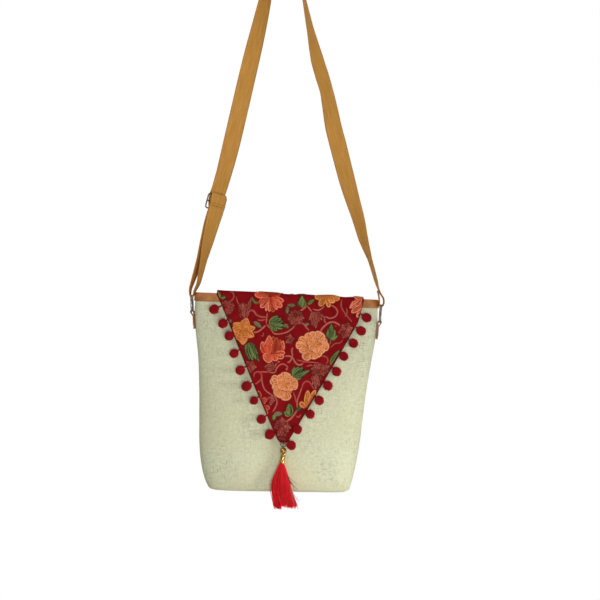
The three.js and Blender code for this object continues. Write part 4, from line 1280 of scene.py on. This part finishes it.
def ribbon(middle, across, width, thick, columns):
    """A flat strip with soft edges and closed ends along a line, with UV across and along the strip."""
    along = unit(np.gradient(middle, axis=0))
    across = unit(across - along * np.sum(across * along, 1, keepdims=True))
    face = np.cross(along, across)
    share = np.linspace(-1, 1, columns)
    flat = thick / 2 * (1 - 0.75 * np.abs(share) ** 14)
    u = np.concatenate([share, share[::-1]]) * width / 2
    out = np.concatenate([flat, -flat[::-1]])
    points = middle[:, None] + across[:, None] * u[:, None] + face[:, None] * out[:, None]
    spread = np.concatenate([u, u[:1]])
    uv = joined(spread, run(middle)[:, None])
    return capped(grid(points, uv, wrap=True), 2 * columns)


def capped(shape, columns):
    """A wrapped grid of a flat strip, with both of its ends closed."""
    points, quads, uv = shape
    ends = []
    for start in (0, len(points) - columns):
        for k in range(columns // 2 - 1):
            near, far = start + k, start + columns - 1 - k
            ends.append([near, near + 1, far - 1, far])
    flat = np.repeat(uv[:1], 4 * len(ends), 0)
    return points, np.concatenate([quads, ends]), np.concatenate([uv, flat])


def strap():
    stations = strap_stations()
    steps = 8
    middle = spline([at for at, _ in stations], steps, 0.5) + (0, 0, WEBBING["thick"] / 2)
    turns = np.array([across for _, across in stations])
    place = np.arange(len(middle)) / steps
    low = np.minimum(place.astype(int), len(turns) - 2)
    across = turns[low] + (turns[low + 1] - turns[low]) * (place - low)[:, None]
    shape = ribbon(middle, across, WEBBING["width"], WEBBING["thick"] + 0.25, 14)
    piece("webbing_strap", shape, WEBBING_LOOK, ["strap"])
    print(f"strap length {run(middle)[-1]:.0f} mm")
    return middle, across


def strap_seams(middle, across):
    """Rows of sewing across the strap's two tails, on both faces."""
    along = unit(np.gradient(middle, axis=0))
    stitch = np.linspace(-1.2, 1.2, 5)[:, None]
    lines = []
    for end, inward in ((0, 1), (len(middle) - 1, -1)):
        k = end + inward * 5
        side = unit(across[k] - along[k] * (across[k] @ along[k]))
        out = np.cross(along[k], side) * (WEBBING["thick"] / 2 + 0.05)
        for row in (0, 3):
            start = middle[k] + along[k] * inward * row
            for spot in np.arange(-10.5, 10.6, 3):
                for facing in (-1, 1):
                    lines.append(start + out * facing + side * (spot + stitch))
    seam("strap_seams", np.array(lines), "strap seam", 0.28)


# Metal and leather on the strap


def wire_frame(width, height, corner, wire, sides=14, per_corner=8):
    """A rounded rectangle of wire in the XY plane, as a grid of sections round its line."""
    rows = []
    for k, (right, up) in enumerate([(1, 1), (-1, 1), (-1, -1), (1, -1)]):
        middle = np.array([(width / 2 - corner) * right, (height / 2 - corner) * up, 0])
        turn = (k + np.linspace(0, 1, per_corner + 1)) * math.pi / 2
        out = joined(np.cos(turn), np.sin(turn), 0)
        line = middle + corner * out
        rows.append(line[:, None] + wire * hoops(out, ALONG_Z, sides))
    return np.concatenate(rows)


def placed(points, centre, x, y, z):
    """Points moved to a frame with that centre and those axes."""
    return centre + points[..., :1] * x + points[..., 1:2] * y + points[..., 2:] * z


def tab_eye(side):
    """Where a ring's lower bar runs through its tab, in the row frame."""
    name = "left" if side < 0 else "right"
    radius = RING["wire"] + GAP + TAB["leather"]
    edge = BODY.smooth(name, TAB_FOLD[name])
    return in_row(np.array([side * (edge + TAB["clear"] + radius), 0, TAB_FOLD[name]]))


def side_ring(name, bar, side):
    upper = np.array([bar["side"], 0, WEBBING["thick"] / 2 - bar["down"]])
    lower = tab_eye(side)
    up = upper - lower
    rows = wire_frame(RING["inside"] + 2 * RING["wire"], np.linalg.norm(up), RING["corner"], RING["wire"])
    rows = placed(rows, (upper + lower) / 2, ALONG_Y, unit(up), unit(np.cross(ALONG_Y, up)))
    piece(f"nickel_{name}", grid(rows, wrap=True, closed=True), NICKEL_LOOK, [name])


def slider():
    width = SLIDER["inside"] + 2 * SLIDER["wire"]
    rows = wire_frame(width, 2 * PITCH, SLIDER["corner"], SLIDER["wire"])
    centre, up, across, front = leg_frame(LEFT_LEG, SLIDER["down"])
    centre = centre + across * SLIDER["aside"] + (0, 0, WEBBING["thick"] / 2)
    bar = np.linspace(-width / 2, width / 2, 12)[:, None] * (1, 0, 0)
    parts = [grid(rows, wrap=True, closed=True)[:2], tubes(bar[None], SLIDER["wire"], 14)]
    points, quads = merged(parts)
    shape = placed(points, centre, across, up, front), quads
    piece("nickel_slider", shape, NICKEL_LOOK, ["slider"])


def tab(side):
    """A leather strip folded round a ring's bar, sewn through both layers."""
    name = "left" if side < 0 else "right"
    fold, clear, long = TAB_FOLD[name], TAB["clear"], TAB["long"]
    bend = RING["wire"] + GAP + TAB["leather"]
    half = TAB["leather"] / 2
    turn = np.linspace(math.pi, TAB["wrap"], 18)
    rising, falling = np.linspace(-long, -1, 12), np.linspace(-TAB["pinch"] * bend, -long, 12)
    x = np.concatenate([np.full(12, half), bend + (bend - half) * np.cos(turn), np.full(12, 3 * half)])
    z = np.concatenate([rising, (bend - half) * np.sin(turn), falling])
    middle = joined(x, 0, z)
    across = np.repeat(ALONG_Y[None], len(middle), 0)
    points, quads, uv = ribbon(middle, across, TAB["width"], TAB["leather"] - 0.02, 12)

    def on_bag(points):
        edge = BODY.smooth(name, fold)
        slope = math.atan2(edge - BODY.smooth(name, fold - long), long)
        x = points[..., 0] * math.cos(slope) + points[..., 2] * math.sin(slope)
        z = points[..., 2] * math.cos(slope) - points[..., 0] * math.sin(slope)
        return in_row(joined(side * (x + edge + clear), side * points[..., 1], z + fold))

    piece(f"leather_tab_{name}", (on_bag(points), quads, uv), LEATHER_LOOK, [f"tab_{name}"])
    stitch, face = np.linspace(-1.1, 1.1, 5), 4 * half + 0.05
    lines = [[(face, y + s, z) for s in stitch] for y in np.arange(-6, 6.1, 3) for z in (-22, -12)]
    lines += [[(face, y, z + s) for s in stitch] for z in np.arange(-20, -13, 2.8) for y in (-7.2, 7.2)]
    seam(f"tab_{name}_seam", on_bag(np.array(lines)), "tab seam", 0.28)


# The tassel


def torus(wide, high, wire, steps=40, sides=12):
    """An oval ring of wire in the XZ plane, as a grid closed both ways."""
    cos, sin = circle(steps)
    centre = joined(wide * cos, 0, high * sin)
    out = unit(joined(high * cos, 0, wide * sin))
    return centre[:, None] + wire * hoops(out, ALONG_Y, sides)


def lathe(profile, steps=40):
    """A profile of (out, up) turned round the Z axis, as a wrapped grid."""
    out, up = np.array(profile, float).T
    cos, sin = circle(steps)
    return joined(out[:, None] * cos, out[:, None] * sin, up[:, None])


def tip_place():
    """The middle of the flap's point, in the row frame."""
    return in_row(np.array([TIP_ACROSS, -flap_depth(TIP_ACROSS, FLAP_TIP), FLAP_TIP]))


def tassel_metal():
    """The loop, ring, bead and cap that the skirt hangs on, and where the skirt starts."""
    tip = tip_place()
    ring_top = TIP_RING["wire"] + GAP
    loop_foot = ring_top + TIP_RING["wire"] + GAP + TIP_LOOP["wire"]
    pivot = tip - (0, 0, ring_top + 2 * TIP_RING["high"])
    drop = BEAD["eye"] + BEAD["radius"]
    turned = np.array([[0, 1, 0], [1, 0, 0], [0, 0, 1]])

    rows = torus(TIP_LOOP["radius"], TIP_LOOP["radius"], TIP_LOOP["wire"]) @ turned
    rows = rows + tip - (0, 0, loop_foot - TIP_LOOP["radius"])
    shape = grid(rows, wrap=True, closed=True)
    piece("thread_tip_loop", shape, YARN_LOOK, ["tip_loop"], colours=dyed("loop"))

    rows = torus(TIP_RING["wide"], TIP_RING["high"], TIP_RING["wire"])
    rows = rows + tip - (0, 0, ring_top + TIP_RING["high"])
    piece("nickel_tip_ring", grid(rows, wrap=True, closed=True), NICKEL_LOOK, ["tip_ring"])

    turn = np.linspace(0.06, math.pi - 0.06, 26)
    ball = lathe(joined(BEAD["radius"] * np.sin(turn), BEAD["radius"] * np.cos(turn) - drop))
    eye = torus(BEAD["eye"], BEAD["eye"], BEAD["eye_wire"]) @ turned
    points, quads = merged([grid(ball, wrap=True)[:2], grid(eye, wrap=True, closed=True)[:2]])
    piece("gilt_bead", (points + pivot, quads), GILT_LOOK, ["tassel_bead"])

    top, foot, high = CAP["top"], CAP["foot"], CAP["high"]
    profile = [
        (0.05, 0), (top - 0.4, 0), (top, -0.15), (top + 0.3, -0.8), (top + 0.3, -1.6), (top - 0.1, -2.4),
        (top + 0.1, -3), (top + 0.5, -5), (foot - 0.9, -7.5), (foot - 0.5, -high + 2.6),
        (foot - 0.25, -high + 2.2), (foot - 0.1, -high + 1.6), (foot - 0.2, -high + 1.1),
        (foot, -high + 0.7), (foot, -high), (foot - 0.6, -high), (0.05, -high + 0.2),
    ]
    cos, sin = math.cos(math.radians(CAP["tilt"])), math.sin(math.radians(CAP["tilt"]))
    lean = np.array([[cos, 0, -sin], [0, 1, 0], [sin, 0, cos]])
    cap_top = pivot - (0, 0, drop + BEAD["radius"] + GAP)
    shape = grid(lathe(profile) @ lean + cap_top, wrap=True)
    piece("gilt_cap", shape, GILT_LOOK, ["tassel_cap"], sharp=40)
    return cap_top - (0, 0, high + GAP)


def tassel_skirt(top):
    """Several hundred strands of silk in loose locks that end in two lobes, with a few strays."""
    rng = np.random.default_rng(5)
    count, steps, locks, sides = 620, 18, 16, 5
    longest = 66
    lock = rng.integers(0, locks, count)
    around = (np.arange(locks) + rng.uniform(-0.6, 0.6, locks)) / locks
    angle = 2 * math.pi * (around[lock] + rng.normal(0, 0.03, count))
    share = np.sqrt(rng.uniform(0.02, 1, count))
    aside = share * np.cos(angle)
    lobe = 57.5 + 6 * np.minimum(1, 1.6 * np.abs(aside + 0.05)) - 1.5 * np.maximum(0, aside)
    ends = lobe + rng.normal(0, 1.6, locks)[lock] + rng.normal(0, 1.3, count)
    ends = np.where(rng.uniform(size=count) < 0.1, rng.uniform(48, 60, count), ends)
    down = np.linspace(0, 1, steps) * np.minimum(ends, longest)[:, None]
    sway = rng.normal(0, 1.2, (count, 1)) * (down / 44) ** 1.6
    bend = rng.normal(0, 1.5, (locks, 1))[lock] * np.sin(down / 15 + rng.uniform(0, 6.3, (locks, 1))[lock])
    curl = 0.8 * np.sin(down / rng.uniform(4, 12, (count, 1)) + rng.uniform(0, 6.3, (count, 1)))
    wide, deep = SKIRT.smooth("wide", down), SKIRT.smooth("deep", down)
    x = SKIRT.smooth("drift", down) + wide * aside[:, None] + sway + bend * down / 50 + curl * down / 64
    y = deep * (share * np.sin(angle))[:, None] + curl * 0.5
    silk = tubes(joined(x, y, -down), np.linspace(0.42, 0.3, steps), sides)
    # Strands nearer the middle of the skirt are darker, as painted shade inside it; the rest of the tone
    # differs at random.
    tone = rng.normal(1, 0.2, locks)[lock] * rng.normal(1, 0.22, count) * (0.8 + 0.28 * share)
    shade = np.repeat(np.clip(dyed("tassel") * tone[:, None], 0, 1), steps * sides, 0)
    dark = strays(rng, 7, (12, 20), (13, 19), 0.7, 0.34)
    pale = strays(rng, 18, (28, 42), (19, 24), 0.95, 0.24)
    points, quads = merged([silk, dark, pale])
    colours = np.empty((len(points), 3))
    colours[:] = dyed("pale stray")
    colours[: len(silk[0]) + len(dark[0])] = dyed("dark stray")
    colours[: len(silk[0])] = shade
    piece("silk_skirt", (points + top, quads), TASSEL_LOOK, ["tassel_skirt"], colours=colours)


def strays(rng, count, starts, falls, near, thick, steps=14):
    """Loose threads that stand away on the right of the skirt: where they start, how far they fall."""
    start = rng.uniform(*starts, (count, 1))
    t = np.linspace(0, 1, steps)
    down = start + t * rng.uniform(*falls, (count, 1))
    side = SKIRT.smooth("drift", start) + near * SKIRT.smooth("wide", start)
    x = side + (20.5 - side) * rng.uniform(0.35, 1, (count, 1)) * t**1.2
    y = rng.uniform(-5, 0, (count, 1)) - 2 * t
    return tubes(joined(x, y, -down), np.linspace(thick, 0.5 * thick, steps), 4)


# The stage


def lamp(name, power, size, place, aim, beam):
    data = bpy.data.lights.new(name, "AREA")
    data.energy, data.size, data.spread = power, size, math.radians(beam)
    made = added(name, data)
    made.location = place
    made.rotation_euler = (Vector(aim) - Vector(place)).to_track_quat("-Z", "Y").to_euler()


def room():
    """White to the camera and even light on cloth; metal mirrors a room that is dark in front and below."""
    world = bpy.data.worlds.new("studio")
    bpy.context.scene.world = world
    world.use_nodes = True
    nodes = Nodes(world.node_tree)
    white = (1, 1, 1)
    way = nodes.node("SeparateXYZ", [nodes.node("TexCoord").outputs["Generated"]])
    back_and_up = Value(nodes, way.outputs[1]) + way.outputs[2]
    mirrored = nodes.value("Background", [white, back_and_up.within(-0.9, 1.1, 0.04, 1.1)])
    seen = nodes.value("Background", [white])
    even = world.node_tree.nodes["Background"]
    nodes.give(white, even.inputs["Color"])
    nodes.give(EVEN_LIGHT, even.inputs["Strength"])
    path = nodes.node("LightPath").outputs
    lit = nodes.value("MixShader", [path["Is Glossy Ray"], even.outputs[0], mirrored])
    pick = nodes.value("MixShader", [path["Is Camera Ray"], lit, seen])
    nodes.give(pick, world.node_tree.nodes["World Output"].inputs[0])


def stage():
    room()
    for name, settings in LAMPS.items():
        lamp(name, *settings)
    wide, deep = FLOOR["wide"] / 2, FLOOR["deep"] / 2
    corners = [(-wide, -deep), (wide, -deep), (wide, deep), (-wide, deep)]
    mesh = bpy.data.meshes.new("floor")
    mesh.from_pydata([(x, y, -FLOOR["down"]) for x, y in corners], [], [(0, 1, 2, 3)])
    pale = Look("floor", {"Roughness": 0.9, "Base Color": (0.86, 0.86, 0.85)})
    mesh.materials.append(pale.material)
    floor = added("floor", mesh)


def camera():
    lens = bpy.data.cameras.new("camera")
    lens.sensor_width = 36
    lens.lens = 36 * CAMERA["away"] / CAMERA["view"]
    made = added("camera", lens)
    made.location = (CAMERA["side"] / 1000, -CAMERA["away"] / 1000, -CAMERA["down"] / 1000)
    made.rotation_euler = (math.pi / 2, 0, 0)
    bpy.context.scene.camera = made
    bpy.context.scene.view_settings.view_transform = "Standard"


camera()
stage()
jute_body()
rim_binding()
cloth = flap_cloth()
trims = [*embroidery(), edge_braids(), *pompoms()]
strap_seams(*strap())
slider()
side_ring("ring_left", LEFT_BAR, -1)
side_ring("ring_right", RIGHT_BAR, 1)
tab(-1)
tab(1)
tassel_skirt(tassel_metal())
